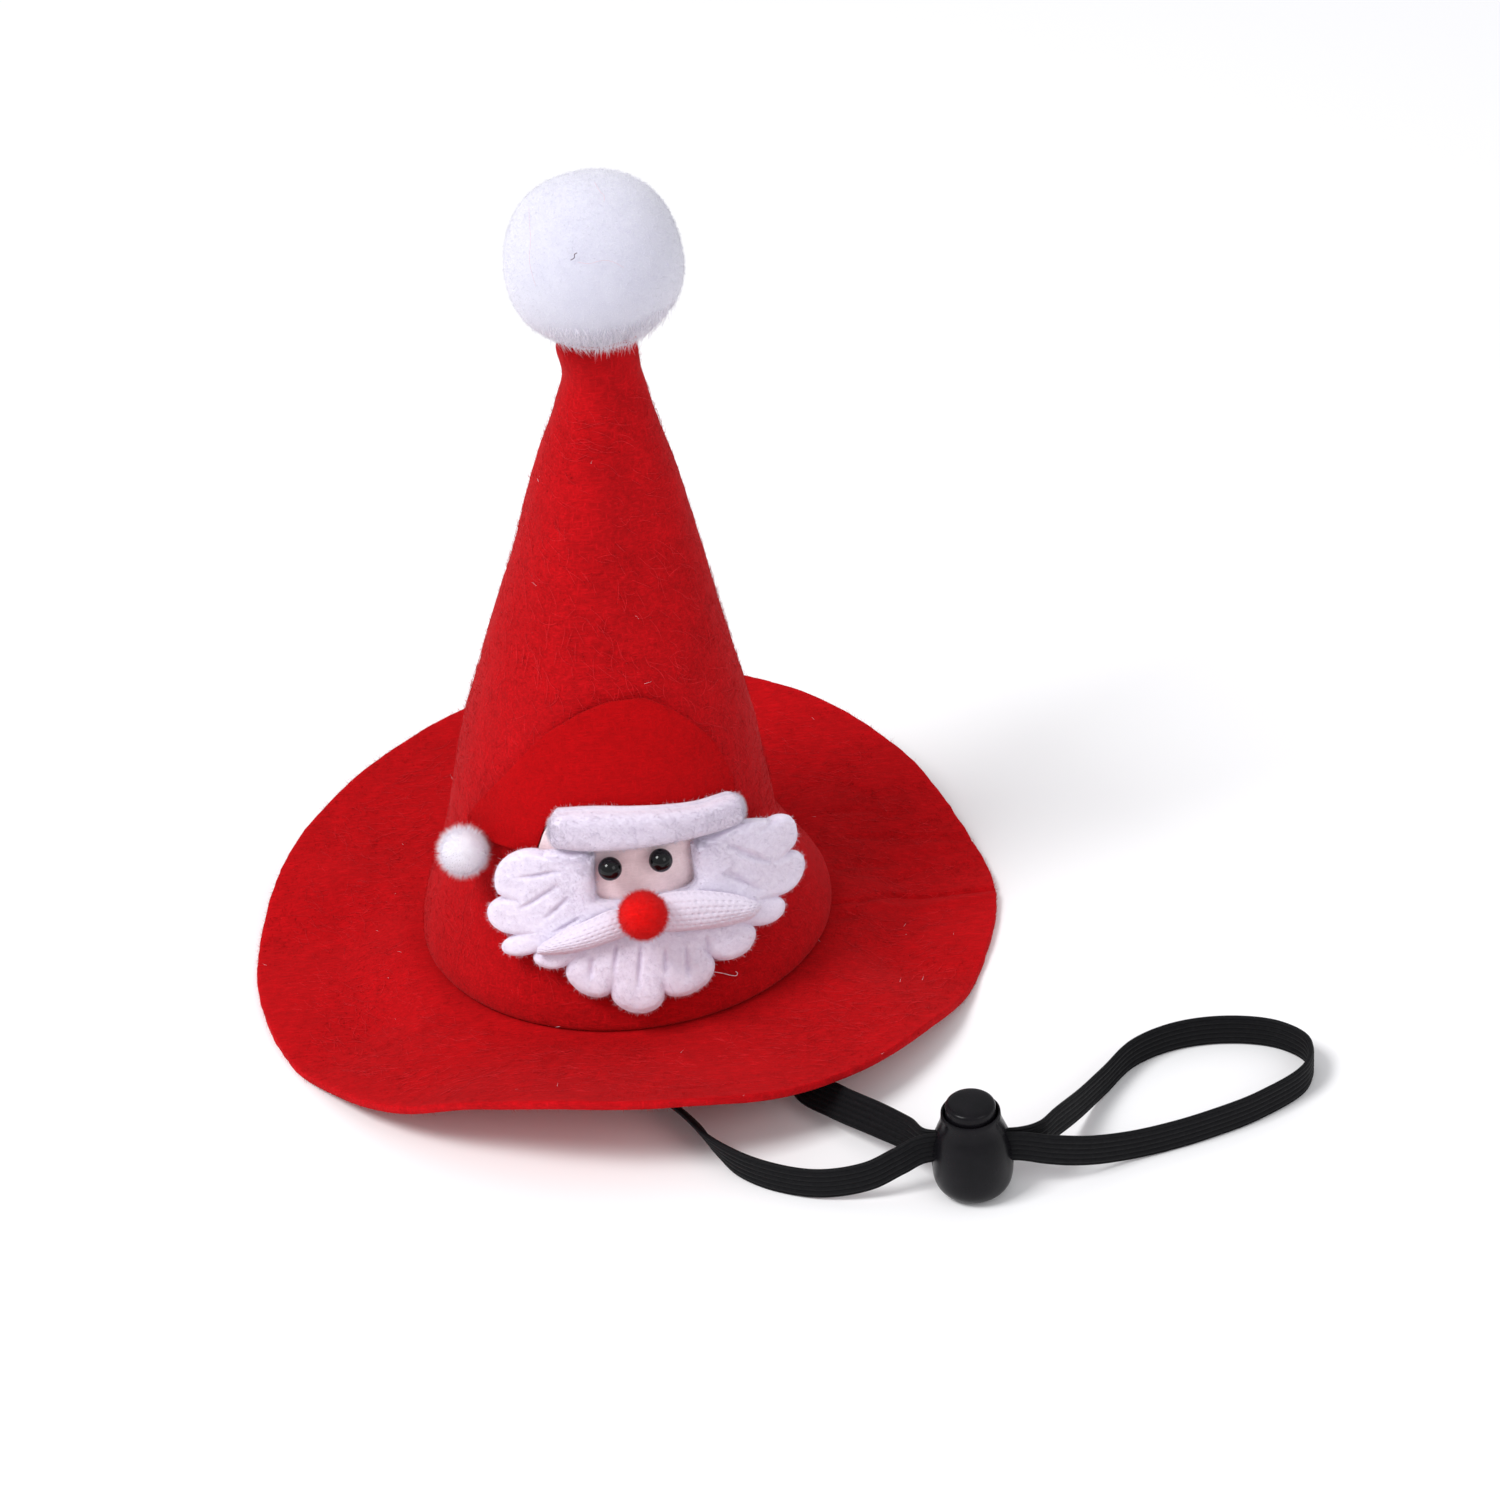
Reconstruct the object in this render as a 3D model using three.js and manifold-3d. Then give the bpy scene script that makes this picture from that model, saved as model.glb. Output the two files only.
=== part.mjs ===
// Small felt hat for a pet: wide brim, tall hollow crown, large pompom, santa face on the
// front and a flat elastic with a push-button lock. Millimetres, +Z up, front towards -Y.
import * as THREE from 'three';
import { mergeVertices } from 'three/addons/utils/BufferGeometryUtils.js';
import Module from 'manifold-3d';

const wasm = await Module();
wasm.setup();

// Driving sizes
const GAP = 0.3;
const FELT = 2.0;
const SEAT_HEIGHT = 7.5;
const CROWN_DEPTH_RATIO = 0.94;
const HOLE_INSET = 4.0;
const SEAT_MARGIN = 1.6;
const FLAT_FROM = 0.55;
const POMPOM_RADIUS = 17.8;
const POMPOM_RISE = 156.2;
const POMPOM_BULGE = { x: -0.75, y: -0.3, z: -0.6, swell: 0.06 };
const SMALL_POMPOM_RADIUS = 5.2;
const NOSE_RADIUS = 5.0;
const EYE_RADIUS = 2.4;
const CAP_FELT = 1.3;
const FACE_FELT = 1.2;
const BEARD_THICK = 2.8;
const BAND_THICK = 4.2;
const MOUSTACHE_THICK = 3.0;
const WING_STANDOFF = 3.0;
const STRAP_WIDTH = 6.9;
const STRAP_THICK = 1.2;
const LOCK = { x: 62.6, y: -88.6, turn: -6, slotHeight: 10.4, travel: 2.5, bore: 5.3, plunger: 5.0 };

// Brim edge: bearing in degrees (0 right, 90 back), radius, and height of its upper face there.
// The two sides lie flat on the table, the front and back edges curl up.
const BRIM_EDGE = [
  { bearing: -185, radius: 77.8, lift: 2.0 },
  { bearing: -156, radius: 77.2, lift: 2.0 },
  { bearing: -143, radius: 76.2, lift: 4.8 },
  { bearing: -130, radius: 76.4, lift: 9.6 },
  { bearing: -115, radius: 76.0, lift: 17.0 },
  { bearing: -100, radius: 76.4, lift: 19.8 },
  { bearing: -85, radius: 76.6, lift: 18.8 },
  { bearing: -70, radius: 76.4, lift: 14.8 },
  { bearing: -55, radius: 75.4, lift: 11.4 },
  { bearing: -38, radius: 74.4, lift: 7.6 },
  { bearing: -18, radius: 74.8, lift: 2.0 },
  { bearing: 7, radius: 78.2, lift: 2.0 },
  { bearing: 20, radius: 77.6, lift: 4.4 },
  { bearing: 34, radius: 77.8, lift: 9.4 },
  { bearing: 60, radius: 77.6, lift: 15.8 },
  { bearing: 90, radius: 76.6, lift: 18.0 },
  { bearing: 118, radius: 77.2, lift: 14.2 },
  { bearing: 140, radius: 77.4, lift: 10.6 },
  { bearing: 157, radius: 77.8, lift: 7.2 },
];

// Crown sections: height over the seat, half width, sideways shift of the centre.
const CROWN = [
  { height: 0.3, half: 41.0, shift: 0.4 },
  { height: 1.6, half: 42.3, shift: 0.4 },
  { height: 4.0, half: 42.6, shift: 0.4 },
  { height: 9.0, half: 40.8, shift: -0.3 },
  { height: 15.0, half: 38.2, shift: -1.0 },
  { height: 22.0, half: 35.4, shift: -1.2 },
  { height: 32.0, half: 33.2, shift: -0.95 },
  { height: 48.0, half: 30.1, shift: -0.3 },
  { height: 68.0, half: 25.0, shift: 1.2 },
  { height: 90.0, half: 19.1, shift: 2.9 },
  { height: 112.0, half: 13.3, shift: 4.1 },
  { height: 127.0, half: 8.8, shift: 5.1 },
  { height: 133.0, half: 7.7, shift: 5.2 },
  { height: 138.4, half: 7.3, shift: 5.2 },
];

// Soft dents in the crown: bearing, height, reach round it in degrees, reach up it, depth.
const CROWN_DENTS = [
  { bearing: 8, height: 21, round: 30, tall: 7, depth: 1.0 },
  { bearing: 196, height: 34, round: 34, tall: 12, depth: 0.5 },
  { bearing: 70, height: 60, round: 40, tall: 26, depth: 0.9 },
  { bearing: 182, height: 131, round: 60, tall: 4, depth: 0.5 },
];

// Upper and lower edge of the small cap: turn from the front in degrees, heights over the seat.
const CAP_EDGE = [
  { turn: -62.0, lower: 36.4, upper: 39.4 },
  { turn: -56.0, lower: 36.6, upper: 44.4 },
  { turn: -47.0, lower: 37.2, upper: 50.8 },
  { turn: -38.0, lower: 37.5, upper: 57.2 },
  { turn: -29.5, lower: 37.6, upper: 62.7 },
  { turn: -28.6, lower: 39.4, upper: 63.1 },
  { turn: -25.8, lower: 44.3, upper: 64.3 },
  { turn: -21.0, lower: 46.6, upper: 66.0 },
  { turn: -14.6, lower: 46.2, upper: 68.0 },
  { turn: -1.0, lower: 45.8, upper: 70.1 },
  { turn: 13.0, lower: 45.0, upper: 69.8 },
  { turn: 26.0, lower: 44.2, upper: 66.6 },
  { turn: 37.0, lower: 43.2, upper: 61.2 },
  { turn: 46.0, lower: 42.4, upper: 54.0 },
  { turn: 50.2, lower: 41.8, upper: 46.0 },
];

// Face felt, mostly covered by the beard and the band.
const FACE_EDGE = [
  { turn: -28.0, lower: 34.0, upper: 38.6 },
  { turn: -25.5, lower: 31.0, upper: 43.2 },
  { turn: -20.0, lower: 25.0, upper: 45.9 },
  { turn: -8.0, lower: 18.0, upper: 45.6 },
  { turn: 6.0, lower: 15.0, upper: 45.0 },
  { turn: 20.0, lower: 16.0, upper: 44.1 },
  { turn: 34.0, lower: 21.0, upper: 43.0 },
  { turn: 45.0, lower: 29.0, upper: 42.0 },
];

// Fleece roll over the forehead.
const BAND_EDGE = [
  { turn: -23.0, lower: 43.2, upper: 46.4 },
  { turn: -20.5, lower: 41.0, upper: 48.4 },
  { turn: -8.0, lower: 40.6, upper: 49.0 },
  { turn: 6.0, lower: 40.3, upper: 48.2 },
  { turn: 19.0, lower: 39.8, upper: 46.9 },
  { turn: 30.0, lower: 39.0, upper: 45.6 },
  { turn: 44.0, lower: 37.8, upper: 44.2 },
  { turn: 48.4, lower: 39.3, upper: 42.4 },
];

// Moustache, thin under the nose and pointed at both tips.
const MOUSTACHE_EDGE = [
  { turn: -24.0, lower: 17.9, upper: 19.0 },
  { turn: -18.0, lower: 18.3, upper: 22.8 },
  { turn: -10.0, lower: 19.6, upper: 25.8 },
  { turn: -2.0, lower: 21.6, upper: 28.0 },
  { turn: 6.0, lower: 23.0, upper: 28.4 },
  { turn: 14.0, lower: 21.6, upper: 29.9 },
  { turn: 22.0, lower: 20.2, upper: 29.0 },
  { turn: 30.0, lower: 18.9, upper: 26.8 },
  { turn: 37.0, lower: 18.2, upper: 23.6 },
  { turn: 41.0, lower: 19.2, upper: 20.4 },
];

// Beard: locks round the face, each from a notch bearing and radius out to its reach.
const FACE_CENTRE = { turn: 9, height: 32 };
const MM_PER_TURN = 0.628;
const WINDOW = { half: 10.6, drop: 3.4 };
const BEARD_LOCKS = [
  { from: 143, notch: 13.2, reach: 15.3 },
  { from: 152, notch: 17.2, reach: 20.0 },
  { from: 161, notch: 22.8, reach: 30.4 },
  { from: 187.5, notch: 28.3, reach: 33.0 },
  { from: 204.5, notch: 27.7, reach: 32.0 },
  { from: 214, notch: 26.2, reach: 26.8 },
  { from: 226, notch: 22.7, reach: 25.7 },
  { from: 247.5, notch: 23.2, reach: 26.5 },
  { from: 269.5, notch: 22.8, reach: 24.3 },
  { from: 297, notch: 21.0, reach: 25.4 },
  { from: 319, notch: 24.4, reach: 30.2 },
  { from: 331.5, notch: 28.4, reach: 35.8 },
  { from: 349, notch: 30.6, reach: 34.4 },
  { from: 366, notch: 29.0, reach: 26.4 },
  { from: 375, notch: 23.7, reach: 20.0 },
  { from: 382, notch: 16.8, reach: 14.8 },
  { from: 389, notch: 13.0, reach: 13.0 },
];

// Elastic: route of its centre, and lean of its width from upright (90 lies flat).
const STRAP_ROUTE = [
  { x: -41.0, y: 1.5, z: 4.4, lean: 90 },
  { x: -14.5, y: -34.5, z: 1.6, lean: 83 },
  { x: -5.0, y: -46.0, z: 2.9, lean: 52 },
  { x: 3.0, y: -56.0, z: 3.8, lean: 40 },
  { x: 9.0, y: -65.0, z: 3.8, lean: 34 },
  { x: 12.6, y: -72.8, z: 3.75, lean: 22 },
  { x: 17.4, y: -79.4, z: 3.6, lean: 5 },
  { x: 24.4, y: -84.6, z: 3.55, lean: 0 },
  { x: 33.0, y: -88.2, z: 4.0, lean: 0 },
  { x: 42.0, y: -89.6, z: 5.9, lean: 0 },
  { x: 48.2, y: -89.0, z: 8.4, lean: 0 },
  { x: 53.2, y: -88.36, z: 10.3, lean: 0 },
  { x: 62.52, y: -89.35, z: 10.4, lean: 0 },
  { x: 71.8, y: -90.32, z: 10.3, lean: 0 },
  { x: 77.6, y: -90.4, z: 8.8, lean: 0 },
  { x: 84.6, y: -88.8, z: 6.3, lean: 0 },
  { x: 92.6, y: -86.2, z: 4.2, lean: 0 },
  { x: 101.0, y: -84.0, z: 3.55, lean: 0 },
  { x: 110.0, y: -81.4, z: 3.55, lean: 0 },
  { x: 121.0, y: -76.9, z: 3.55, lean: 0 },
  { x: 131.4, y: -69.4, z: 3.55, lean: 0 },
  { x: 133.2, y: -61.6, z: 3.55, lean: 0 },
  { x: 128.4, y: -55.8, z: 3.55, lean: 0 },
  { x: 119.0, y: -52.6, z: 3.55, lean: 0 },
  { x: 108.0, y: -52.9, z: 3.55, lean: 0 },
  { x: 98.7, y: -57.0, z: 3.55, lean: 0 },
  { x: 91.6, y: -65.0, z: 3.65, lean: 0 },
  { x: 85.6, y: -73.4, z: 5.4, lean: 0 },
  { x: 80.0, y: -81.8, z: 8.4, lean: 0 },
  { x: 76.0, y: -87.2, z: 9.9, lean: 0 },
  { x: 71.9, y: -88.82, z: 10.35, lean: 0 },
  { x: 62.68, y: -87.85, z: 10.4, lean: 0 },
  { x: 54.0, y: -86.92, z: 10.35, lean: 3 },
  { x: 50.4, y: -81.9, z: 9.4, lean: 22 },
  { x: 45.0, y: -75.0, z: 8.0, lean: 36 },
  { x: 38.0, y: -66.3, z: 6.1, lean: 45 },
  { x: 32.6, y: -57.4, z: 4.4, lean: 54 },
  { x: 37.4, y: -34.0, z: 1.9, lean: 84 },
  { x: 40.4, y: -12.0, z: 3.7, lean: 90 },
  { x: 41.0, y: 1.5, z: 4.4, lean: 90 },
];

// Cord lock sections from the table up: height and outer radius.
const LOCK_BODY = [
  { height: 0.0, radius: 4.6 },
  { height: 0.6, radius: 6.1 },
  { height: 1.8, radius: 7.2 },
  { height: 3.6, radius: 7.8 },
  { height: 6.5, radius: 8.0 },
  { height: 10.0, radius: 7.9 },
  { height: 12.4, radius: 7.5 },
  { height: 14.2, radius: 6.9 },
  { height: 15.8, radius: 6.25 },
  { height: 17.2, radius: 5.9 },
  { height: 18.8, radius: 5.8 },
];
const LOCK_BODY_FLOOR = 1.0;
const BUTTON_TOP = 21.2;

const degrees = THREE.MathUtils.degToRad;
const mix = THREE.MathUtils.lerp;
const ease = (x) => THREE.MathUtils.smoothstep(x, 0, 1);

// Smooth curve through a table's column that never overshoots its rows.
function tableCurve(rows, key, column, period = 0) {
  const x = rows.map((row) => row[key]);
  const y = rows.map((row) => row[column]);
  if (period) {
    x.unshift(x[x.length - 1] - period);
    y.unshift(y[y.length - 1]);
    x.push(x[1] + period, x[2] + period);
    y.push(y[1], y[2]);
  }
  const slope = x.slice(1).map((v, i) => (y[i + 1] - y[i]) / (v - x[i]));
  const tangent = x.map((v, i) => {
    const before = slope[Math.max(i - 1, 0)];
    const after = slope[Math.min(i, slope.length - 1)];
    return before * after <= 0 ? 0 : (2 * before * after) / (before + after);
  });
  return (value) => {
    let t = value;
    while (period && t < x[1]) t += period;
    while (period && t >= x[1] + period) t -= period;
    let i = 0;
    while (i < slope.length - 1 && t > x[i + 1]) i += 1;
    const width = x[i + 1] - x[i];
    const s = THREE.MathUtils.clamp((t - x[i]) / width, 0, 1);
    const s2 = s * s;
    const s3 = s2 * s;
    return (2 * s3 - 3 * s2 + 1) * y[i] + (s3 - 2 * s2 + s) * width * tangent[i]
      + (3 * s2 - 2 * s3) * y[i + 1] + (s3 - s2) * width * tangent[i + 1];
  };
}

// Skin through closed loops with equal, even point counts; ends closed or joined into a ring.
function loft(loops, ring = false) {
  const n = loops[0].length;
  const index = [];
  const spans = ring ? loops.length : loops.length - 1;
  for (let i = 0; i < spans; i += 1) {
    const a = i * n;
    const b = ((i + 1) % loops.length) * n;
    for (let j = 0; j < n; j += 1) {
      const k = (j + 1) % n;
      index.push(a + j, a + k, b + k, a + j, b + k, b + j);
    }
  }
  if (!ring) {
    const last = (loops.length - 1) * n;
    for (let j = 0; j < n / 2 - 1; j += 1) {
      const k = n - 1 - j;
      index.push(j, k, j + 1, j + 1, k, k - 1);
      index.push(last + j, last + j + 1, last + k, last + j + 1, last + k - 1, last + k);
    }
  }
  const geometry = new THREE.BufferGeometry();
  geometry.setAttribute('position', new THREE.Float32BufferAttribute(
    loops.flat().flatMap((p) => [p.x, p.y, p.z]), 3));
  geometry.setIndex(index);
  return faceOut(geometry);
}

// Turn a closed skin so that its triangles face outwards.
function faceOut(geometry) {
  const p = geometry.getAttribute('position');
  const index = Array.from(geometry.getIndex().array);
  const corner = [new THREE.Vector3(), new THREE.Vector3(), new THREE.Vector3()];
  let volume = 0;
  for (let i = 0; i < index.length; i += 3) {
    corner.forEach((v, k) => v.fromBufferAttribute(p, index[i + k]));
    volume += corner[0].dot(corner[1].clone().cross(corner[2]));
  }
  if (volume < 0) {
    for (let i = 0; i < index.length; i += 3) {
      const swap = index[i];
      index[i] = index[i + 1];
      index[i + 1] = swap;
    }
    geometry.setIndex(index);
  }
  return geometry;
}

const edgeRadius = tableCurve(BRIM_EDGE, 'bearing', 'radius', 360);
const edgeLift = tableCurve(BRIM_EDGE, 'bearing', 'lift', 360);
const crownHalf = tableCurve(CROWN, 'height', 'half');
const crownShift = tableCurve(CROWN, 'height', 'shift');

// Point of the crown's outer skin at a bearing and height, moved out along its normal.
function crownPoint(bearing, height, out = 0) {
  const a = degrees(bearing);
  const dent = CROWN_DENTS.reduce((sum, d) => {
    const round = ((bearing - d.bearing + 540) % 360) - 180;
    return sum + d.depth * Math.exp(-((round / d.round) ** 2) - ((height - d.height) / d.tall) ** 2);
  }, 0);
  const half = crownHalf(height) - dent;
  const slope = (crownHalf(height + 0.5) - crownHalf(height - 0.5));
  const normal = new THREE.Vector3(Math.cos(a), Math.sin(a) / CROWN_DEPTH_RATIO, -slope).normalize();
  return new THREE.Vector3(crownShift(height) + half * Math.cos(a),
    CROWN_DEPTH_RATIO * half * Math.sin(a), SEAT_HEIGHT + height).addScaledVector(normal, out);
}

// Place on the crown's front: turn to the right of the front in degrees.
function frontPoint(turn, height, out) {
  return crownPoint(turn - 90, height, out);
}

// The beard and moustache are flatter than the crown, so their sides stand off it.
function standoff(turn) {
  return WING_STANDOFF * (turn / 51.6) ** 2;
}

// Height of the brim's upper face at a bearing, share of the way from the seat to the edge.
function brimHeight(bearing, share) {
  const lift = edgeLift(bearing);
  const curl = THREE.MathUtils.clamp((lift - FELT) / 5, 0, 1);
  const settle = ease(Math.min(share / FLAT_FROM, 1));
  return SEAT_HEIGHT + (lift - SEAT_HEIGHT) * mix(settle, share ** 1.2, curl);
}

function brim() {
  const around = 64;
  const shares = [0.16, 0.34, FLAT_FROM, 0.77, 1];
  const loops = [];
  for (let i = 0; i < around; i += 1) {
    const bearing = (360 * i) / around - 180;
    const a = degrees(bearing);
    const oval = 1 / Math.hypot(Math.cos(a), Math.sin(a) / CROWN_DEPTH_RATIO);
    const hole = (CROWN[0].half + 1.5 - HOLE_INSET) * oval;
    const seat = (CROWN[2].half + SEAT_MARGIN) * oval;
    const edge = edgeRadius(bearing);
    const top = [[hole, SEAT_HEIGHT], [seat, SEAT_HEIGHT]];
    shares.forEach((share) => top.push([mix(seat, edge, share), brimHeight(bearing, share)]));
    const section = [...top, ...top.map(([r, z]) => [r, z - FELT]).reverse()];
    loops.push(section.map(([r, z]) => new THREE.Vector3(r * Math.cos(a), r * Math.sin(a), z)));
  }
  return loft(loops, true);
}

function crown() {
  const around = 40;
  const bearings = Array.from({ length: around }, (v, i) => (360 * i) / around);
  const top = CROWN[CROWN.length - 1].height;
  const inner = [top - FELT, 116, 90, 60, 34, 22, 13, 4, CROWN[0].height];
  const outer = [CROWN[0].height, 1.6, 4, 9, 15, 21, 27, 38, 54, 72, 92, 112, 124, 131, top];
  const skin = (height, out) => bearings.map((b) => {
    const p = crownPoint(b, height, out);
    p.z = SEAT_HEIGHT + height;
    return p;
  });
  return loft([...inner.map((h) => skin(h, -FELT)), ...outer.map((h) => skin(h, 0))]);
}

// Padded or flat piece laid on the crown's front between a lower and an upper edge.
function frontPiece(table, { columns, rows, under, thick, puff = 0, lean = () => 0, thin = () => 1 }) {
  const lower = tableCurve(table, 'turn', 'lower');
  const upper = tableCurve(table, 'turn', 'upper');
  const first = table[0].turn;
  const last = table[table.length - 1].turn;
  const turns = new Set(table.map((row) => row.turn));
  for (let i = 0; i <= columns; i += 1) turns.add(mix(first, last, i / columns));
  const sorted = [...turns].sort((a, b) => a - b).filter((t, i, all) => !i || t - all[i - 1] > 0.45);
  const loops = sorted.map((turn) => {
    const end = Math.min((turn - first) / 5, (last - turn) / 5, 1);
    const face = (share, out) => {
      const height = mix(lower(turn), upper(turn), share);
      return frontPoint(turn, height, under + lean(turn) + out);
    };
    const shares = Array.from({ length: rows + 1 }, (v, i) => i / rows);
    const depth = (share) => {
      const round = Math.sqrt(Math.max(0, 1 - (2 * share - 1) ** 2)) * Math.sqrt(Math.max(end, 0));
      return thick * thin(turn) * mix(1, 0.3 + 0.7 * round, puff);
    };
    return [...shares.map((s) => face(s, depth(s))), ...shares.map((s) => face(s, 0)).reverse()];
  });
  return loft(loops);
}

// Radius of the beard's scalloped edge at a bearing round the face.
function beardReach(bearing) {
  let i = 0;
  while (i < BEARD_LOCKS.length - 2 && bearing > BEARD_LOCKS[i + 1].from) i += 1;
  const lock = BEARD_LOCKS[i];
  const next = BEARD_LOCKS[i + 1];
  const x = THREE.MathUtils.clamp((bearing - lock.from) / (next.from - lock.from), 0, 1);
  const base = mix(lock.notch, next.notch, x);
  return base + (lock.reach - (lock.notch + next.notch) / 2) * Math.sqrt(Math.sin(Math.PI * x));
}

// Rounded lower edge of the face's window, straight up at its sides.
function windowReach(bearing) {
  const c = Math.abs(Math.cos(degrees(bearing)));
  const s = Math.sin(degrees(bearing));
  if (s > 0) return WINDOW.half / c;
  return ((c / WINDOW.half) ** 4 + (-s / WINDOW.drop) ** 4) ** -0.25;
}

function beard() {
  const under = GAP + FACE_FELT + GAP;
  const first = BEARD_LOCKS[0].from;
  const last = BEARD_LOCKS[BEARD_LOCKS.length - 1].from;
  const bearings = new Set();
  BEARD_LOCKS.slice(0, -1).forEach((lock, i) => {
    const width = BEARD_LOCKS[i + 1].from - lock.from;
    const steps = width > 9.5 ? 6 : 2;
    for (let k = 0; k < steps; k += 1) bearings.add(lock.from + (width * k) / steps);
  });
  bearings.add(last);
  const shares = [0, 0.2, 0.5, 0.8, 1];
  const loops = [...bearings].map((bearing) => {
    const end = Math.min((bearing - first) / 6, (last - bearing) / 6, 1);
    const groove = BEARD_LOCKS.reduce((most, lock) => (
      Math.max(most, Math.exp(-(((bearing - lock.from) / 3) ** 2)))), 0);
    const point = (share, top) => {
      const r = mix(windowReach(bearing), beardReach(bearing), share);
      const turn = FACE_CENTRE.turn + (r * Math.cos(degrees(bearing))) / MM_PER_TURN;
      const height = FACE_CENTRE.height + r * Math.sin(degrees(bearing));
      const round = Math.sqrt(Math.max(0, 1 - (2 * share - 1) ** 2));
      const thick = BEARD_THICK * (0.4 + 0.6 * round * Math.sqrt(end) * (1 - 0.35 * groove));
      return frontPoint(turn, height, under + standoff(turn) + (top ? thick : 0));
    };
    return [...shares.map((s) => point(s, true)), ...shares.map((s) => point(s, false)).reverse()];
  });
  return loft(loops);
}

// Ball of trimmed yarn: blunt locks standing on a round head, fuller towards one side by a swell
// and flattened below a floor if given.
function pompom(centre, radius, locks, detail, swell = 0, floor = -Infinity) {
  const tips = Array.from({ length: locks }, (v, i) => {
    const z = 1 - (2 * i + 1) / locks;
    const a = i * Math.PI * (3 - Math.sqrt(5));
    const r = Math.sqrt(1 - z * z);
    return new THREE.Vector3(r * Math.cos(a), r * Math.sin(a), z);
  });
  const spread = Math.sqrt(4 / locks);
  const full = new THREE.Vector3(POMPOM_BULGE.x, POMPOM_BULGE.y, POMPOM_BULGE.z).normalize();
  const ball = new THREE.IcosahedronGeometry(1, detail);
  ball.deleteAttribute('normal');
  ball.deleteAttribute('uv');
  const geometry = mergeVertices(ball, 1e-5);
  const p = geometry.getAttribute('position');
  const v = new THREE.Vector3();
  for (let i = 0; i < p.count; i += 1) {
    v.fromBufferAttribute(p, i).normalize();
    const near = Math.min(...tips.map((tip) => tip.distanceTo(v)));
    const lump = 0.02 * Math.sin(3 * v.x + 1) * Math.cos(2.5 * v.z)
      + swell * Math.exp(-2 * full.distanceToSquared(v));
    v.multiplyScalar(radius * (0.97 + 0.03 * Math.cos(Math.min(near / spread, 1) * Math.PI) + lump));
    v.add(centre);
    v.z = Math.max(v.z, floor);
    p.setXYZ(i, v.x, v.y, v.z);
  }
  return faceOut(geometry);
}

function bead(centre) {
  const ball = new THREE.SphereGeometry(EYE_RADIUS, 14, 9);
  ball.deleteAttribute('normal');
  ball.deleteAttribute('uv');
  return faceOut(mergeVertices(ball.translate(centre.x, centre.y, centre.z), 1e-4));
}

// Flat band swept along its route, its width turned from upright by the lean.
function strap() {
  const steps = 104;
  const path = new THREE.CatmullRomCurve3(
    STRAP_ROUTE.map((p) => new THREE.Vector3(p.x, p.y, p.z)), false, 'centripetal');
  const lean = tableCurve(STRAP_ROUTE.map((p, i) => ({ at: i, lean: p.lean })), 'at', 'lean');
  const loops = [];
  for (let i = 0; i <= steps; i += 1) {
    const t = i / steps;
    const centre = path.getPoint(t);
    const along = path.getTangent(t);
    const side = new THREE.Vector3(along.y, -along.x, 0).normalize();
    const up = new THREE.Vector3().crossVectors(side, along).normalize();
    const angle = degrees(lean(t * (STRAP_ROUTE.length - 1)));
    const wide = up.clone().multiplyScalar(Math.cos(angle)).addScaledVector(side, Math.sin(angle));
    const thick = new THREE.Vector3().crossVectors(along, wide).normalize();
    loops.push([[1, 1], [1, -1], [-1, -1], [-1, 1]].map(([w, h]) => centre.clone()
      .addScaledVector(wide, (w * STRAP_WIDTH) / 2).addScaledVector(thick, (h * STRAP_THICK) / 2)));
  }
  return loft(loops);
}

function toSolid(geometry) {
  const plain = mergeVertices(geometry, 1e-4);
  return new wasm.Manifold(new wasm.Mesh({
    numProp: 3,
    vertProperties: new Float32Array(plain.getAttribute('position').array),
    triVerts: new Uint32Array(plain.getIndex().array),
  }));
}

function fromSolid(solid) {
  const mesh = solid.getMesh();
  const geometry = new THREE.BufferGeometry();
  geometry.setAttribute('position', new THREE.Float32BufferAttribute(mesh.vertProperties, 3));
  geometry.setIndex(Array.from(mesh.triVerts));
  return geometry;
}

// Round solid about the lock's axis from a profile of radius and height.
function turned(profile, segments) {
  const lathe = new THREE.LatheGeometry(profile.map(([r, z]) => new THREE.Vector2(r, z)), segments);
  lathe.deleteAttribute('normal');
  lathe.deleteAttribute('uv');
  lathe.rotateX(Math.PI / 2);
  lathe.translate(LOCK.x, LOCK.y, 0);
  return faceOut(mergeVertices(lathe, 1e-4));
}

// Slot across the lock for both strands of the elastic.
function slot(length, low, high) {
  const wide = 2 * STRAP_THICK + 3 * GAP;
  const box = new THREE.BoxGeometry(length, wide, high - low);
  box.deleteAttribute('normal');
  box.deleteAttribute('uv');
  box.rotateZ(degrees(LOCK.turn));
  box.translate(LOCK.x, LOCK.y, (low + high) / 2);
  return toSolid(box);
}

const SLOT_LOW = LOCK.slotHeight - STRAP_WIDTH / 2 - GAP;
const SLOT_HIGH = LOCK.slotHeight + STRAP_WIDTH / 2 + GAP;

function lockBody() {
  const outside = LOCK_BODY.map((row) => [row.radius, row.height]);
  const rim = LOCK_BODY[LOCK_BODY.length - 1].height;
  const bore = [[LOCK.bore, rim], [LOCK.bore, LOCK_BODY_FLOOR], [0, LOCK_BODY_FLOOR]];
  const whole = toSolid(turned([[0, 0], ...outside, ...bore], 28));
  return fromSolid(whole.subtract(slot(24, SLOT_LOW, SLOT_HIGH)));
}

function lockButton() {
  const low = LOCK_BODY_FLOOR + LOCK.travel + GAP;
  const r = LOCK.plunger;
  const profile = [[0, low], [r, low], [r, BUTTON_TOP - 1.2], [r - 0.35, BUTTON_TOP - 0.4],
    [r - 1.2, BUTTON_TOP], [0, BUTTON_TOP]];
  return fromSolid(toSolid(turned(profile, 24)).subtract(slot(24, SLOT_LOW, SLOT_HIGH + LOCK.travel)));
}

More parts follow.
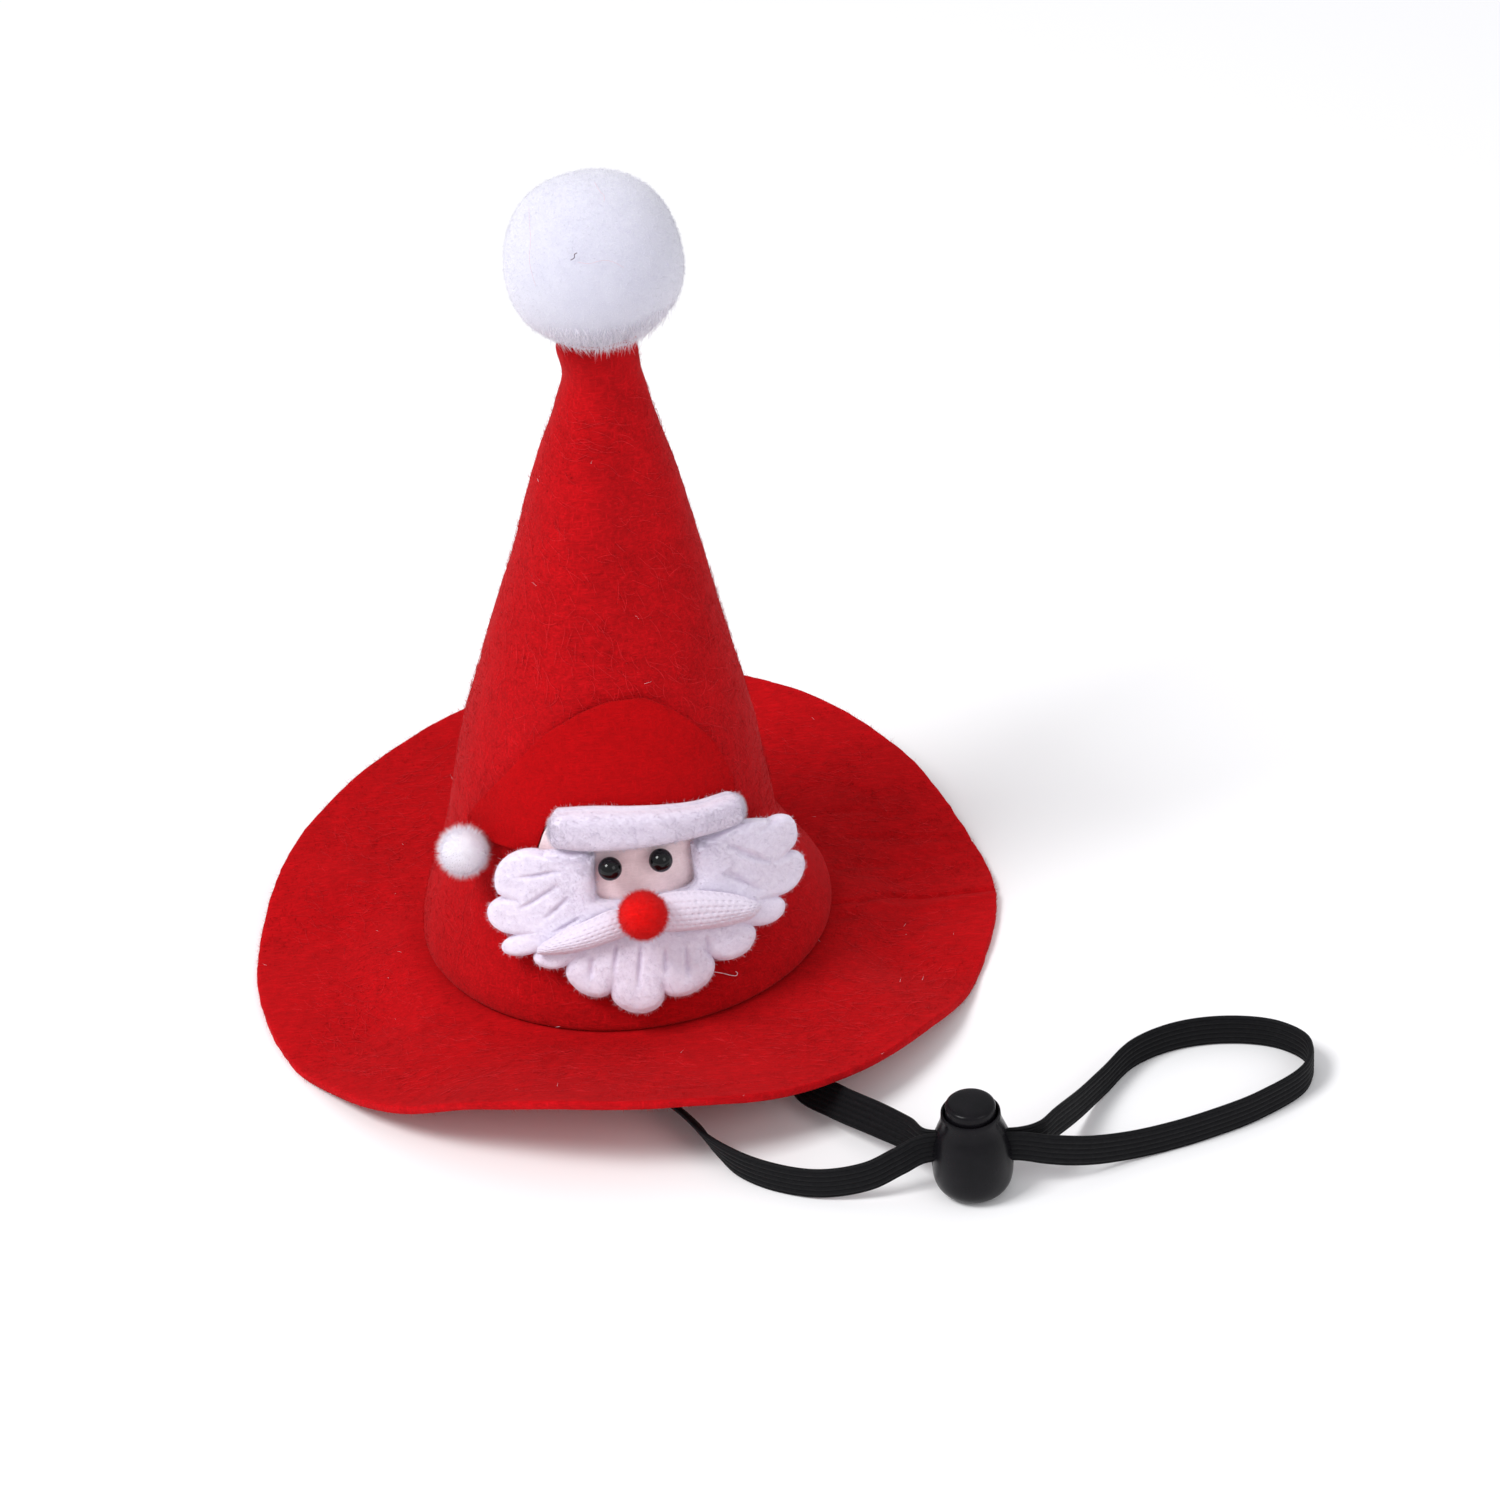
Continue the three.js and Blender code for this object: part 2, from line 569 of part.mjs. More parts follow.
function felt(colour, roughness = 0.95) {
  return new THREE.MeshStandardMaterial({ color: colour, roughness, metalness: 0 });
}

const hat = new THREE.Group();
hat.name = 'pet_santa_hat';
function piece(name, geometry, material) {
  const mesh = new THREE.Mesh(geometry, material);
  mesh.name = name;
  hat.add(mesh);
}

const beardTop = GAP + FACE_FELT + GAP + BEARD_THICK;
const noseThin = (turn) => 1 - 0.5 * Math.exp(-(((turn - 6) / 5) ** 2));
const noseOut = beardTop + GAP + MOUSTACHE_THICK * 0.55 + GAP + NOSE_RADIUS;
const eyeOut = GAP + FACE_FELT + GAP + EYE_RADIUS;
const tipOut = GAP + CAP_FELT + GAP + SMALL_POMPOM_RADIUS;
const pompomCentre = new THREE.Vector3(5.9, 0, SEAT_HEIGHT + POMPOM_RISE);
const pompomFloor = SEAT_HEIGHT + CROWN[CROWN.length - 1].height + GAP;

piece('brim', brim(), felt('#b5121a'));
piece('crown', crown(), felt('#b8151c'));
piece('top_pompom', pompom(pompomCentre, POMPOM_RADIUS, 64, 8, POMPOM_BULGE.swell, pompomFloor),
  felt('#eef0f5'));
piece('cap_applique', frontPiece(CAP_EDGE, { columns: 12, rows: 5, under: GAP, thick: CAP_FELT }),
  felt('#ae0c14'));
piece('face_felt', frontPiece(FACE_EDGE, { columns: 12, rows: 4, under: GAP, thick: FACE_FELT }),
  felt('#e2c6b8'));
piece('beard', beard(), felt('#eceaf2'));
piece('cap_band', frontPiece(BAND_EDGE, {
  columns: 11, rows: 5, under: GAP + CAP_FELT + GAP, thick: BAND_THICK, puff: 1,
}), felt('#efedf4'));
piece('moustache', frontPiece(MOUSTACHE_EDGE, {
  columns: 10, rows: 5, under: beardTop + GAP, thick: MOUSTACHE_THICK, puff: 1, lean: standoff, thin: noseThin,
}), felt('#f0eef4'));
piece('nose_pompom', pompom(frontPoint(5.8, 28.9, noseOut), NOSE_RADIUS, 22, 3), felt('#d81a1c'));
piece('cap_pompom', pompom(frontPoint(-51.4, 35.8, tipOut), SMALL_POMPOM_RADIUS, 22, 3), felt('#f0f0f5'));
piece('eye_left', bead(frontPoint(-2.4, 36.7, eyeOut)), felt('#0a0a0b', 0.12));
piece('eye_right', bead(frontPoint(14.0, 36.8, eyeOut)), felt('#0a0a0b', 0.12));
piece('elastic_strap', strap(), felt('#131216', 0.85));
piece('cord_lock_body', lockBody(), felt('#1e1d22', 0.42));
piece('cord_lock_button', lockButton(), felt('#1b1a1f', 0.45));

export default hat;
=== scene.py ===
import math

import bpy
import numpy as np
from mathutils import Matrix, Vector


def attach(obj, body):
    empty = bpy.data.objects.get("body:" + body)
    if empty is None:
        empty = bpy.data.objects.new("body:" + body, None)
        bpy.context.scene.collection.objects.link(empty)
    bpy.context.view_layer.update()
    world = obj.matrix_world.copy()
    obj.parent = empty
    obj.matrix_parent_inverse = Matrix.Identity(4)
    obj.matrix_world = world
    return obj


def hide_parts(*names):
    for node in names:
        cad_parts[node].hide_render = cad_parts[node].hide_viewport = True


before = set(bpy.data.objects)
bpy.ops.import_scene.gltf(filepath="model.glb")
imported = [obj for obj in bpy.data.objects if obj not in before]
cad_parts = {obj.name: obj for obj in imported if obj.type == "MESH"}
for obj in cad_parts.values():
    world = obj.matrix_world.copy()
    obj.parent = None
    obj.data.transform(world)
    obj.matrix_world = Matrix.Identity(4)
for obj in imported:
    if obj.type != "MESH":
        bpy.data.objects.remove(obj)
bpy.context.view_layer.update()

# Pattern sizes in millimetres; MM turns them into metres.
MM = 0.001
GAP = 0.3
FELT = 2.0
SEAT_HEIGHT, SEAT_MARGIN = 7.5, 1.6
CROWN_DEPTH_RATIO = 0.94
HOLE_HALF, HOLE_HALF_DEEP = 38.5, 36.2
FLAT_FROM, CURL_RISE, CURL_POWER = 0.55, 5.0, 1.2
RIM_SLANT, RIM_FROM, RIM_REACH = 0.5, 134.0, 7.0
CAP_FELT, FACE_FELT = 1.3, 1.2
BEARD_THICK, BAND_THICK, MOUSTACHE_THICK = 2.8, 4.2, 3.0
WING_STANDOFF, WING_TURN = 3.0, 51.6
STRAP_WIDTH, STRAP_THICK, STRAP_CORDS = 6.9, 1.2, 6
POMPOM_CENTRE = np.array([5.9, 0.0, 163.7])
POMPOM_RADIUS, SMALL_POMPOM_RADIUS = 17.8, 5.2
NOSE_RADIUS, NOSE_PRESSED = 5.0, 1.3
EYE_RADIUS = 2.4
LOCK_X, LOCK_Y, LOCK_TURN = 62.6, -88.6, -6.0
LOCK_BORE, LOCK_PLUNGER = 5.3, 5.0
LOCK_FLOOR, BUTTON_TOP, AXIS_FLAT = 1.0, 21.2, 0.3
SLOT_HEIGHT, SLOT_TRAVEL = 10.4, 2.5
SLOT_LOW = SLOT_HEIGHT - STRAP_WIDTH / 2 - GAP
SLOT_HIGH = SLOT_HEIGHT + STRAP_WIDTH / 2 + GAP
BEARD_UNDER = GAP + FACE_FELT + GAP
BEARD_TOP = BEARD_UNDER + BEARD_THICK
NOSE_OUT = BEARD_TOP + GAP + MOUSTACHE_THICK * 0.55 + GAP + NOSE_RADIUS
EYE_OUT = BEARD_UNDER + EYE_RADIUS
TIP_OUT = GAP + CAP_FELT + GAP + SMALL_POMPOM_RADIUS
UP = np.array([0.0, 0.0, 1.0])

# Places on the crown's front: turn to the right of it in degrees, height.
NOSE_AT, TIP_AT = (5.8, 28.9), (-51.4, 35.8)
EYE_LEFT_AT, EYE_RIGHT_AT = (-2.4, 36.7), (14.0, 36.8)
MOUSTACHE_MIDDLE = 6.0

# Camera: degrees down and of roll; focal length, frame and the foot's offsets from its middle in pixels.
CAMERA_FALL, CAMERA_ROLL = 37.0, 5.5
FOCAL, FRAME_WIDE, SENSOR = 4774.0, 1500, 36
FOOT_LEFT, FOOT_BELOW = 124, 164

# Brim edge: bearing (0 right, 90 back), radius, height of the upper face.
BRIM_EDGE = np.array([
    (-185, 77.8, 2.0), (-156, 77.2, 2.0), (-143, 76.2, 4.8), (-130, 76.4, 9.6), (-115, 76.0, 17.0),
    (-100, 76.4, 19.8), (-85, 76.6, 18.8), (-70, 76.4, 14.8), (-55, 75.4, 11.4), (-38, 74.4, 7.6),
    (-18, 74.8, 2.0), (7, 78.2, 2.0), (20, 77.6, 4.4), (34, 77.8, 9.4), (60, 77.6, 15.8),
    (90, 76.6, 18.0), (118, 77.2, 14.2), (140, 77.4, 10.6), (157, 77.8, 7.2),
])

# Creases pressed into the brim, from above: x and y of both ends, depth (below 0 a ridge), half width.
CREASES = np.array([
    (43.1, -3.3, 48.4, -2.2, 0.5, 0.6), (48.4, -2.2, 56.6, 3.3, 0.8, 0.6), (56.6, 3.3, 78.5, 3.7, 0.9, 0.6),
    (52.0, -1.6, 78.5, 1.6, -0.4, 1.5), (43.3, -8.2, 47.5, -6.6, 0.6, 1.0),
    (48.8, 20.5, 57.6, 21.3, 0.5, 0.9), (57.6, 21.3, 77.0, 20.7, 0.4, 0.8),
    (46.1, 40.0, 48.5, 40.6, 0.4, 1.0), (49.8, 36.7, 54.4, 33.7, 0.4, 1.0),
    (45.7, 28.8, 55.0, 28.6, 0.35, 0.9), (45.5, 9.3, 54.5, 12.6, 0.35, 1.0),
    (55.6, 7.1, 64.9, 12.7, 0.3, 0.9), (-64.6, -35.7, -48.2, -31.5, 0.35, 0.8),
    (-48.2, -31.5, -36.0, -31.0, 0.25, 0.9), (-18.5, -49.8, -12.0, -42.0, 0.3, 0.9),
])

# Crown: height over the seat, half width, sideways shift.
CROWN = np.array([
    (0.3, 42.0, 0.4), (1.6, 42.7, 0.4), (4.0, 42.6, 0.4), (9.0, 40.8, -0.3), (15.0, 38.2, -1.0),
    (22.0, 35.4, -1.2), (32.0, 33.2, -0.95), (48.0, 30.1, -0.3), (68.0, 25.0, 1.2), (90.0, 19.1, 2.9),
    (112.0, 13.3, 4.1), (127.0, 8.8, 5.1), (133.0, 7.7, 5.2), (138.0, 7.75, 4.8), (141.4, 7.2, 4.95),
])
CROWN_TOP = CROWN[-1, 0]
FOOT_HALF = CROWN[2, 1]

# Dents in the crown: bearing, height, reach round, reach up, depth.
CROWN_DENTS = np.array([
    (8, 21, 30, 7, 1.0), (196, 34, 34, 12, 0.5), (70, 60, 40, 26, 0.9), (182, 131, 60, 4, 0.5),
    (291, 93, 38, 34, 3.8),
])

# Fuller and slacker sides of the trimmed pompom, round a ring that leans back: angle up from the right,
# share; and the even sides of the small ones.
POMPOM_SIDES = np.array([
    (-65, -0.044), (-25, 0.020), (15, -0.027), (55, 0.008), (95, -0.018), (135, 0.025), (175, -0.003),
    (215, 0.044), (255, -0.015),
])
POMPOM_RING_UP = np.array([0.0, 0.60, 0.80])
EVEN_SIDES = np.array([(0.0, 0.0)])

# Front pieces: turn from the front, lower edge, upper edge.
CAP_EDGE = np.array([
    (-62, 36.4, 39.4), (-56, 36.6, 44.4), (-47, 37.2, 50.8), (-38, 37.5, 57.2), (-29.2, 37.5, 62.8),
    (-28.4, 39.1, 63.0), (-25.8, 43.8, 64.0), (-21, 46.4, 65.5), (-14.6, 46.2, 67.3), (-1, 45.8, 69.0),
    (13, 45.0, 68.6), (26, 44.2, 65.6), (37, 43.2, 60.5), (46, 42.4, 54.0), (50.2, 41.8, 46.0),
])
FACE_EDGE = np.array([
    (-28, 34.0, 38.6), (-25.5, 31.0, 43.2), (-20, 25.0, 45.9), (-8, 18.0, 45.6), (6, 15.0, 45.0),
    (20, 16.0, 44.1), (34, 21.0, 43.0), (45, 29.0, 42.0),
])
BAND_EDGE = np.array([
    (-23, 43.2, 46.4), (-20.5, 41.0, 48.4), (-8, 40.6, 49.0), (6, 40.3, 48.2), (19, 39.8, 46.9),
    (30, 39.0, 45.6), (44, 37.8, 44.2), (48.4, 39.3, 42.4),
])
MOUSTACHE_EDGE = np.array([
    (-24, 17.9, 19.0), (-18, 18.3, 22.8), (-10, 19.6, 25.8), (-2, 21.6, 28.0), (6, 23.0, 28.4),
    (14, 21.6, 29.9), (22, 20.2, 29.0), (30, 18.9, 26.8), (37, 18.2, 23.6), (41, 19.2, 20.4),
])

# Beard locks round the face: bearing of the notch, its radius, reach of the lock after it.
FACE_TURN, FACE_HEIGHT, MM_PER_TURN = 9.0, 32.0, 0.628
WINDOW_HALF, WINDOW_DROP = 10.6, 3.4
BEARD_LOCKS = np.array([
    (143, 13.2, 15.3), (152, 17.2, 20.0), (161, 22.8, 30.4), (187.5, 28.3, 33.0), (204.5, 27.7, 32.0),
    (214, 26.2, 26.8), (226, 22.7, 25.7), (247.5, 23.2, 26.5), (269.5, 22.8, 24.3), (297, 21.0, 25.4),
    (319, 24.4, 30.2), (331.5, 28.4, 35.8), (349, 30.6, 34.4), (366, 29.0, 26.4), (375, 23.7, 20.0),
    (382, 16.8, 14.8), (389, 13.0, 13.0),
])

# Lines pressed into the beard, from the face's middle: x and y of the start, x and y of the end.
BEARD_LINES = np.array([
    (-11.4, -14.8, -11.8, -18.5), (-6.9, -12.5, -7.7, -17.4), (-2.5, -13.1, -4.1, -20.6),
    (1.7, -14.8, 0.8, -19.1), (5.3, -15.3, 4.3, -20.4), (9.5, -14.6, 8.9, -17.6), (-24.7, 2.0, -17.9, 4.2),
    (-24.4, -4.6, -17.7, 1.1), (-19.7, -6.1, -15.5, -1.3), (-18.0, -9.2, -13.3, -5.7),
    (17.4, 3.4, 24.1, -2.8), (18.9, 1.3, 25.2, -4.4), (15.4, -1.9, 19.8, -6.8), (16.5, -1.8, 21.6, -9.0),
])

# Elastic: centre of the band x, y, z and lean of its width from upright.
STRAP_ROUTE = np.array([
    (-41.0, 1.5, 4.4, 90), (-14.5, -34.5, 1.6, 83), (-5.0, -46.0, 2.9, 52), (3.0, -56.0, 3.8, 40),
    (9.0, -65.0, 3.8, 34), (12.6, -72.8, 3.75, 22), (17.4, -79.4, 3.6, 5), (24.4, -84.6, 3.55, 0),
    (33.0, -88.2, 4.0, 0), (42.0, -89.6, 5.9, 0), (48.2, -89.0, 8.4, 0), (53.2, -88.36, 10.3, 0),
    (62.52, -89.35, 10.4, 0), (71.8, -90.32, 10.3, 0), (77.6, -90.4, 8.8, 0), (84.6, -88.8, 6.3, 0),
    (92.6, -86.2, 4.2, 0), (101.0, -84.0, 3.55, 0), (110.0, -81.4, 3.55, 0), (121.0, -76.9, 3.55, 0),
    (131.4, -69.4, 3.55, 0), (133.2, -61.6, 3.55, 0), (128.4, -55.8, 3.55, 0), (119.0, -52.6, 3.55, 0),
    (108.0, -52.9, 3.55, 0), (98.7, -57.0, 3.55, 0), (91.6, -65.0, 3.65, 0), (85.6, -73.4, 5.4, 0),
    (80.0, -81.8, 8.4, 0), (76.0, -87.2, 9.9, 0), (71.9, -88.82, 10.35, 0), (62.68, -87.85, 10.4, 0),
    (54.0, -86.92, 10.35, 3), (50.4, -81.9, 9.4, 22), (45.0, -75.0, 8.0, 36), (38.0, -66.3, 6.1, 45),
    (32.6, -57.4, 4.4, 54), (37.4, -34.0, 1.9, 84), (40.4, -12.0, 3.7, 90), (41.0, 1.5, 4.4, 90),
])

# Cord lock body from the table up: height, outer radius.
LOCK_BODY = np.array([
    (0.0, 4.6), (0.6, 6.1), (1.8, 7.2), (3.6, 7.8), (6.5, 8.0), (10.0, 7.9), (12.4, 7.5), (14.2, 6.9),
    (15.8, 6.25), (17.2, 5.9), (18.8, 5.8),
])


# Scene and its camera, at the photograph's angle
def placed(name, data):
    """New object of the data, in the scene."""
    thing = bpy.data.objects.new(name, data)
    bpy.context.scene.collection.objects.link(thing)
    return thing


def place_camera():
    """Camera one metre from the crown's foot along a line 37 degrees above the table, rolled by 5.5
    degrees, then turned by the small angles whose tangents are the foot's offsets over the focal length."""
    fall, roll = math.radians(CAMERA_FALL), math.radians(CAMERA_ROLL)
    ahead = Vector((0, math.cos(fall), -math.sin(fall)))
    up = Vector((0, math.sin(fall), math.cos(fall)))
    right = Vector((1, 0, 0))
    spot = Vector((0, 0, SEAT_HEIGHT * MM)) - ahead
    turned_right = right * math.cos(roll) - up * math.sin(roll)
    turned_up = up * math.cos(roll) + right * math.sin(roll)
    aim = (ahead + turned_right * (FOOT_LEFT / FOCAL) + turned_up * (FOOT_BELOW / FOCAL)).normalized()
    side = aim.cross(turned_up).normalized()
    top = side.cross(aim).normalized()
    camera = placed("camera", bpy.data.cameras.new("camera"))
    camera.data.lens = SENSOR * FOCAL / FRAME_WIDE
    camera.data.sensor_width = SENSOR
    camera.data.clip_start = 0.01
    camera.matrix_world = Matrix.Translation(spot) @ Matrix((side, top, -aim)).transposed().to_4x4()
    bpy.context.scene.camera = camera


place_camera()


# Curves and noise
def eased(s, first, leaving, second, arriving):
    """Cubic from one value to the next by the share s, with the given slopes at both ends."""
    return ((2 * s**3 - 3 * s**2 + 1) * first + (s**3 - 2 * s**2 + s) * leaving
            + (3 * s**2 - 2 * s**3) * second + (s**3 - s**2) * arriving)


def table_curve(x, y, at, period=0.0):
    """Cubic through the table's rows with harmonic-mean slopes, so it never overshoots a row."""
    x, y, at = np.asarray(x, float), np.asarray(y, float), np.asarray(at, float)
    if period:
        start = x[0]
        x = np.concatenate([[x[-1] - period], x, [x[0] + period, x[1] + period]])
        y = np.concatenate([[y[-1]], y, [y[0], y[1]]])
        at = (at - start) % period + start
    slope = np.diff(y) / np.diff(x)
    before = np.concatenate([[slope[0]], slope])
    after = np.concatenate([slope, [slope[-1]]])
    same = before * after > 0
    tangent = np.where(same, 2 * before * after / np.where(same, before + after, 1), 0)
    i = np.clip(np.searchsorted(x, at, side="right") - 1, 0, len(slope) - 1)
    width = x[i + 1] - x[i]
    s = np.clip((at - x[i]) / width, 0, 1)
    return eased(s, y[i], width * tangent[i], y[i + 1], width * tangent[i + 1])


def lumps(p, size, seed):
    """Smooth noise from -1 to 1: random values on a cubic lattice of the given size, eased between."""
    q = np.asarray(p, float) / size + 37.0
    cell = np.floor(q)
    f = q - cell
    f = f * f * (3 - 2 * f)
    total = 0.0
    for corner in np.ndindex(2, 2, 2):
        c = cell + np.array(corner)
        h = np.sin(c @ np.array([127.1, 311.7, 74.7]) + seed * 19.19) * 43758.5453
        weight = np.prod(np.where(np.array(corner) == 1, f, 1 - f), axis=-1)
        total = total + weight * (2 * (h - np.floor(h)) - 1)
    return total


def wool(spot, *layers):
    """Sum of lumps over the places; each layer has its height, its size and its seed."""
    return sum(height * lumps(spot, size, seed) for height, size, seed in layers)


def unit(v):
    """Vectors divided by their lengths."""
    return v / np.maximum(np.linalg.norm(v, axis=-1, keepdims=True), 1e-12)


def polar(radius, a, z):
    """Places at a radius, an angle in radians and a height."""
    return np.stack(np.broadcast_arrays(radius * np.cos(a), radius * np.sin(a), z), -1)


def ring_round(along, other, a):
    """Directions at the angles a round each line, square to it, counted from its cross with the other."""
    e1 = unit(np.cross(along, other))
    e2 = np.cross(along, e1)
    return np.cos(a)[..., None] * e1[..., None, :] + np.sin(a)[..., None] * e2[..., None, :]


def from_lines(spot, lines):
    """Share along each straight line at its point nearest to a place, and the distance to it, seen flat."""
    begin, run = lines[:, :2], lines[:, 2:4] - lines[:, :2]
    off = spot[..., None, :2] - begin
    along = np.clip((off * run).sum(-1) / (run**2).sum(-1), 0, 1)
    return along, np.linalg.norm(off - along[..., None] * run, axis=-1)


# Surfaces of the hat
def crown_half(height):
    """Half width of the crown at each height, before its dents."""
    return table_curve(CROWN[:, 0], CROWN[:, 1], height)


def crown_skin(bearing, height, out=0.0):
    """Oval ring at each height: half width from the table less the dents, moved out along the normal."""
    bearing, height = np.broadcast_arrays(np.asarray(bearing, float), np.asarray(height, float))
    a = np.radians(bearing)
    at, high, reach_round, reach_up, deep = CROWN_DENTS.T
    round_off = (bearing[..., None] - at + 540) % 360 - 180
    up_off = height[..., None] - high
    dent = (deep * np.exp(-(round_off / reach_round) ** 2 - (up_off / reach_up) ** 2)).sum(-1)
    half = crown_half(height) - dent
    slope = crown_half(height + 0.5) - crown_half(height - 0.5)
    shift = table_curve(CROWN[:, 0], CROWN[:, 2], height)
    normal = unit(np.stack([np.cos(a), np.sin(a) / CROWN_DEPTH_RATIO, -slope], -1))
    point = np.stack([shift + half * np.cos(a), CROWN_DEPTH_RATIO * half * np.sin(a),
                      SEAT_HEIGHT + height], -1)
    return point + normal * np.asarray(out)[..., None]


def crown_normal(bearing, height):
    """Outward direction of the crown's skin."""
    return unit(crown_skin(bearing, height, 1.0) - crown_skin(bearing, height))


def front(turn, height, out):
    """Place on the crown's front, turned to the right of it by degrees, standing out by millimetres."""
    return crown_skin(np.asarray(turn) - 90.0, height, out)


def standoff(turn):
    """The beard is flatter than the crown: its lift grows with the square of the turn."""
    return WING_STANDOFF * (np.asarray(turn) / WING_TURN) ** 2


def brim_radii(bearing):
    """Radii of the head hole and of the crown's seat, both ovals, and of the brim's edge from its table."""
    a = np.radians(bearing)
    oval = 1 / np.hypot(np.cos(a), np.sin(a) / CROWN_DEPTH_RATIO)
    edge = table_curve(BRIM_EDGE[:, 0], BRIM_EDGE[:, 1], bearing, 360.0)
    return HOLE_HALF * oval, (FOOT_HALF + SEAT_MARGIN) * oval, edge


def brim_top(bearing, share):
    """Upper face of the brim from the seat (0) to the edge (1): sides settle flat, ends curl up."""
    lift = table_curve(BRIM_EDGE[:, 0], BRIM_EDGE[:, 2], bearing, 360.0)
    curl = np.clip((lift - FELT) / CURL_RISE, 0, 1)
    s = np.clip(share / FLAT_FROM, 0, 1)
    settle = s * s * (3 - 2 * s)
    curled_up = np.maximum(share, 0) ** CURL_POWER
    return SEAT_HEIGHT + (lift - SEAT_HEIGHT) * (settle * (1 - curl) + curled_up * curl)


# Mesh making
def put_mesh(name, points, faces, material, node=None, body="hat"):
    """Mesh of the points, in millimetres, and faces; turned so that its volume is positive."""
    a, b, c = points[faces[:, 0]], points[faces[:, 1]], points[faces[:, 2]]
    volume = np.einsum("ij,ij->", a, np.cross(b, c))
    if faces.shape[1] == 4:
        volume += np.einsum("ij,ij->", a, np.cross(c, points[faces[:, 3]]))
    if volume < 0:
        faces = faces[:, ::-1]
    mesh = bpy.data.meshes.new(name)
    mesh.from_pydata((points * MM).tolist(), [], faces.tolist())
    mesh.polygons.foreach_set("use_smooth", np.ones(len(faces), bool))
    mesh.update()
    thing = placed(name, mesh)
    mesh.materials.append(material)
    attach(thing, body)
    if node:
        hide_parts(node)
    return thing


def mark_points(thing, name, value):
    """Named value from 0 to 1 on each point, for the piece's material to read."""
    mark = thing.data.attributes.new(name, "FLOAT", "POINT")
    mark.data.foreach_set("value", np.ascontiguousarray(value, np.float32).ravel())


def wrap_faces(rows, count, ring):
    """Quads between neighbouring closed rows; open ends are filled by a ladder of quads."""
    i = np.arange(rows if ring else rows - 1)[:, None]
    j = np.arange(count)[None, :]
    k = (j + 1) % count
    n = (i + 1) % rows
    quads = np.stack(np.broadcast_arrays(i * count + j, i * count + k, n * count + k, n * count + j), -1)
    quads = quads.reshape(-1, 4)
    if ring:
        return quads
    t = np.arange(count // 2 - 1)
    ladder = np.stack([t, count - 1 - t, count - 2 - t, t + 1], -1)
    return np.concatenate([quads, ladder, (rows - 1) * count + ladder[:, ::-1]])


def wrapped(name, loops, material, node=None, ring=False, body="hat"):
    """Closed skin through a grid of loops."""
    faces = wrap_faces(*loops.shape[:2], ring)
    return put_mesh(name, loops.reshape(-1, 3), faces, material, node, body)


def felt_section(steps_top, steps_under, bulge, arc=5):
    """Outline of a felt wall's cut: share along it, outward bulge of the rounded cut edges, depth share."""
    a = np.radians(np.linspace(80, -80, arc))
    top, under = np.linspace(0, 1, steps_top), np.linspace(1, 0, steps_under)
    share = np.concatenate([top, np.ones(arc), under, np.zeros(arc)])
    swell = bulge * np.concatenate([0 * top, np.cos(a), 0 * under, -np.cos(a)])
    deep = np.concatenate([0 * top + 1, 0.5 + 0.5 * np.sin(a), 0 * under, 0.5 - 0.5 * np.sin(a)])
    return share, swell, deep


def spikes(name, root, tip, width, material, seed):
    """Slim closed spikes: a small triangle round each root, square to the fibre, drawn to a point."""
    rng = np.random.default_rng(seed)
    along = unit(tip - root)
    other = np.where(np.abs(along[:, 2:]) < 0.9, UP, [1.0, 0.0, 0.0])
    a = rng.uniform(0, 2 * np.pi, len(root))[:, None] + np.radians([0, 120, 240])
    base = root[:, None] + width * ring_round(along, other, a)
    points = np.concatenate([base, tip[:, None]], 1).reshape(-1, 3)
    sides = np.array([[0, 1, 3], [1, 2, 3], [2, 0, 3], [2, 1, 0]])
    faces = (sides[None] + 4 * np.arange(len(root))[:, None, None]).reshape(-1, 3)
    put_mesh(name, points, faces, material)


def nap(name, root, normal, brush, length, rise, width, material, seed):
    """Loose surface hairs: each leans along the brushed direction and rises off the cloth by an angle."""
    rng = np.random.default_rng(seed)
    n = len(root)
    strayed, sunk, off_table = 0.7, 0.1, 0.15
    spread = rng.normal(0, strayed, n)[:, None]
    along = unit(brush * np.cos(spread) + np.cross(normal, brush) * np.sin(spread))
    angle = np.radians(rng.uniform(*rise, n))[:, None]
    long = rng.uniform(*length, n)[:, None]
    tip = root + long * (along * np.cos(angle) + normal * np.sin(angle))
    tip[:, 2] = np.maximum(tip[:, 2], off_table)
    spikes(name, root - normal * sunk, tip, width, material, seed + 1)


# Materials
def put_values(node, values):
    """Constant values on the node's own sockets."""
    for socket, value in values.items():
        node.inputs[socket].default_value = value


def new_node(tree, kind, values=None, **sources):
    """New node with constant values on some sockets and sources linked to others."""
    node = tree.nodes.new("ShaderNode" + kind)
    put_values(node, values or {})
    for socket, source in sources.items():
        tree.links.new(source, node.inputs[socket])
    return node


def blank(name):
    """New node material with its shader."""
    material = bpy.data.materials.new(name)
    material.use_nodes = True
    return material, material.node_tree, material.node_tree.nodes["Principled BSDF"]


def grain(tree, size, stretch=(1, 1, 1), turn=(0, 0, 0), detail=4.0, rough=0.6):
    """Noise on the object's own coordinates with grains of that size in metres."""
    place = new_node(tree, "TexCoord").outputs["Object"]
    mapping = new_node(tree, "Mapping", {"Scale": stretch, "Rotation": turn}, Vector=place)
    noise = new_node(tree, "TexNoise", {"Scale": 1 / size, "Detail": detail, "Roughness": rough},
                     Vector=mapping.outputs["Vector"])
    return noise.outputs["Fac"]


def ramp(tree, value, *stops):
    """Colour ramp through (position, colour) stops."""
    node = new_node(tree, "ValToRGB", Fac=value)
    while len(node.color_ramp.elements) < len(stops):
        node.color_ramp.elements.new(0.5)
    for element, (position, colour) in zip(node.color_ramp.elements, stops):
        element.position = position
        element.color = (*colour, 1.0)
    return node.outputs["Color"]


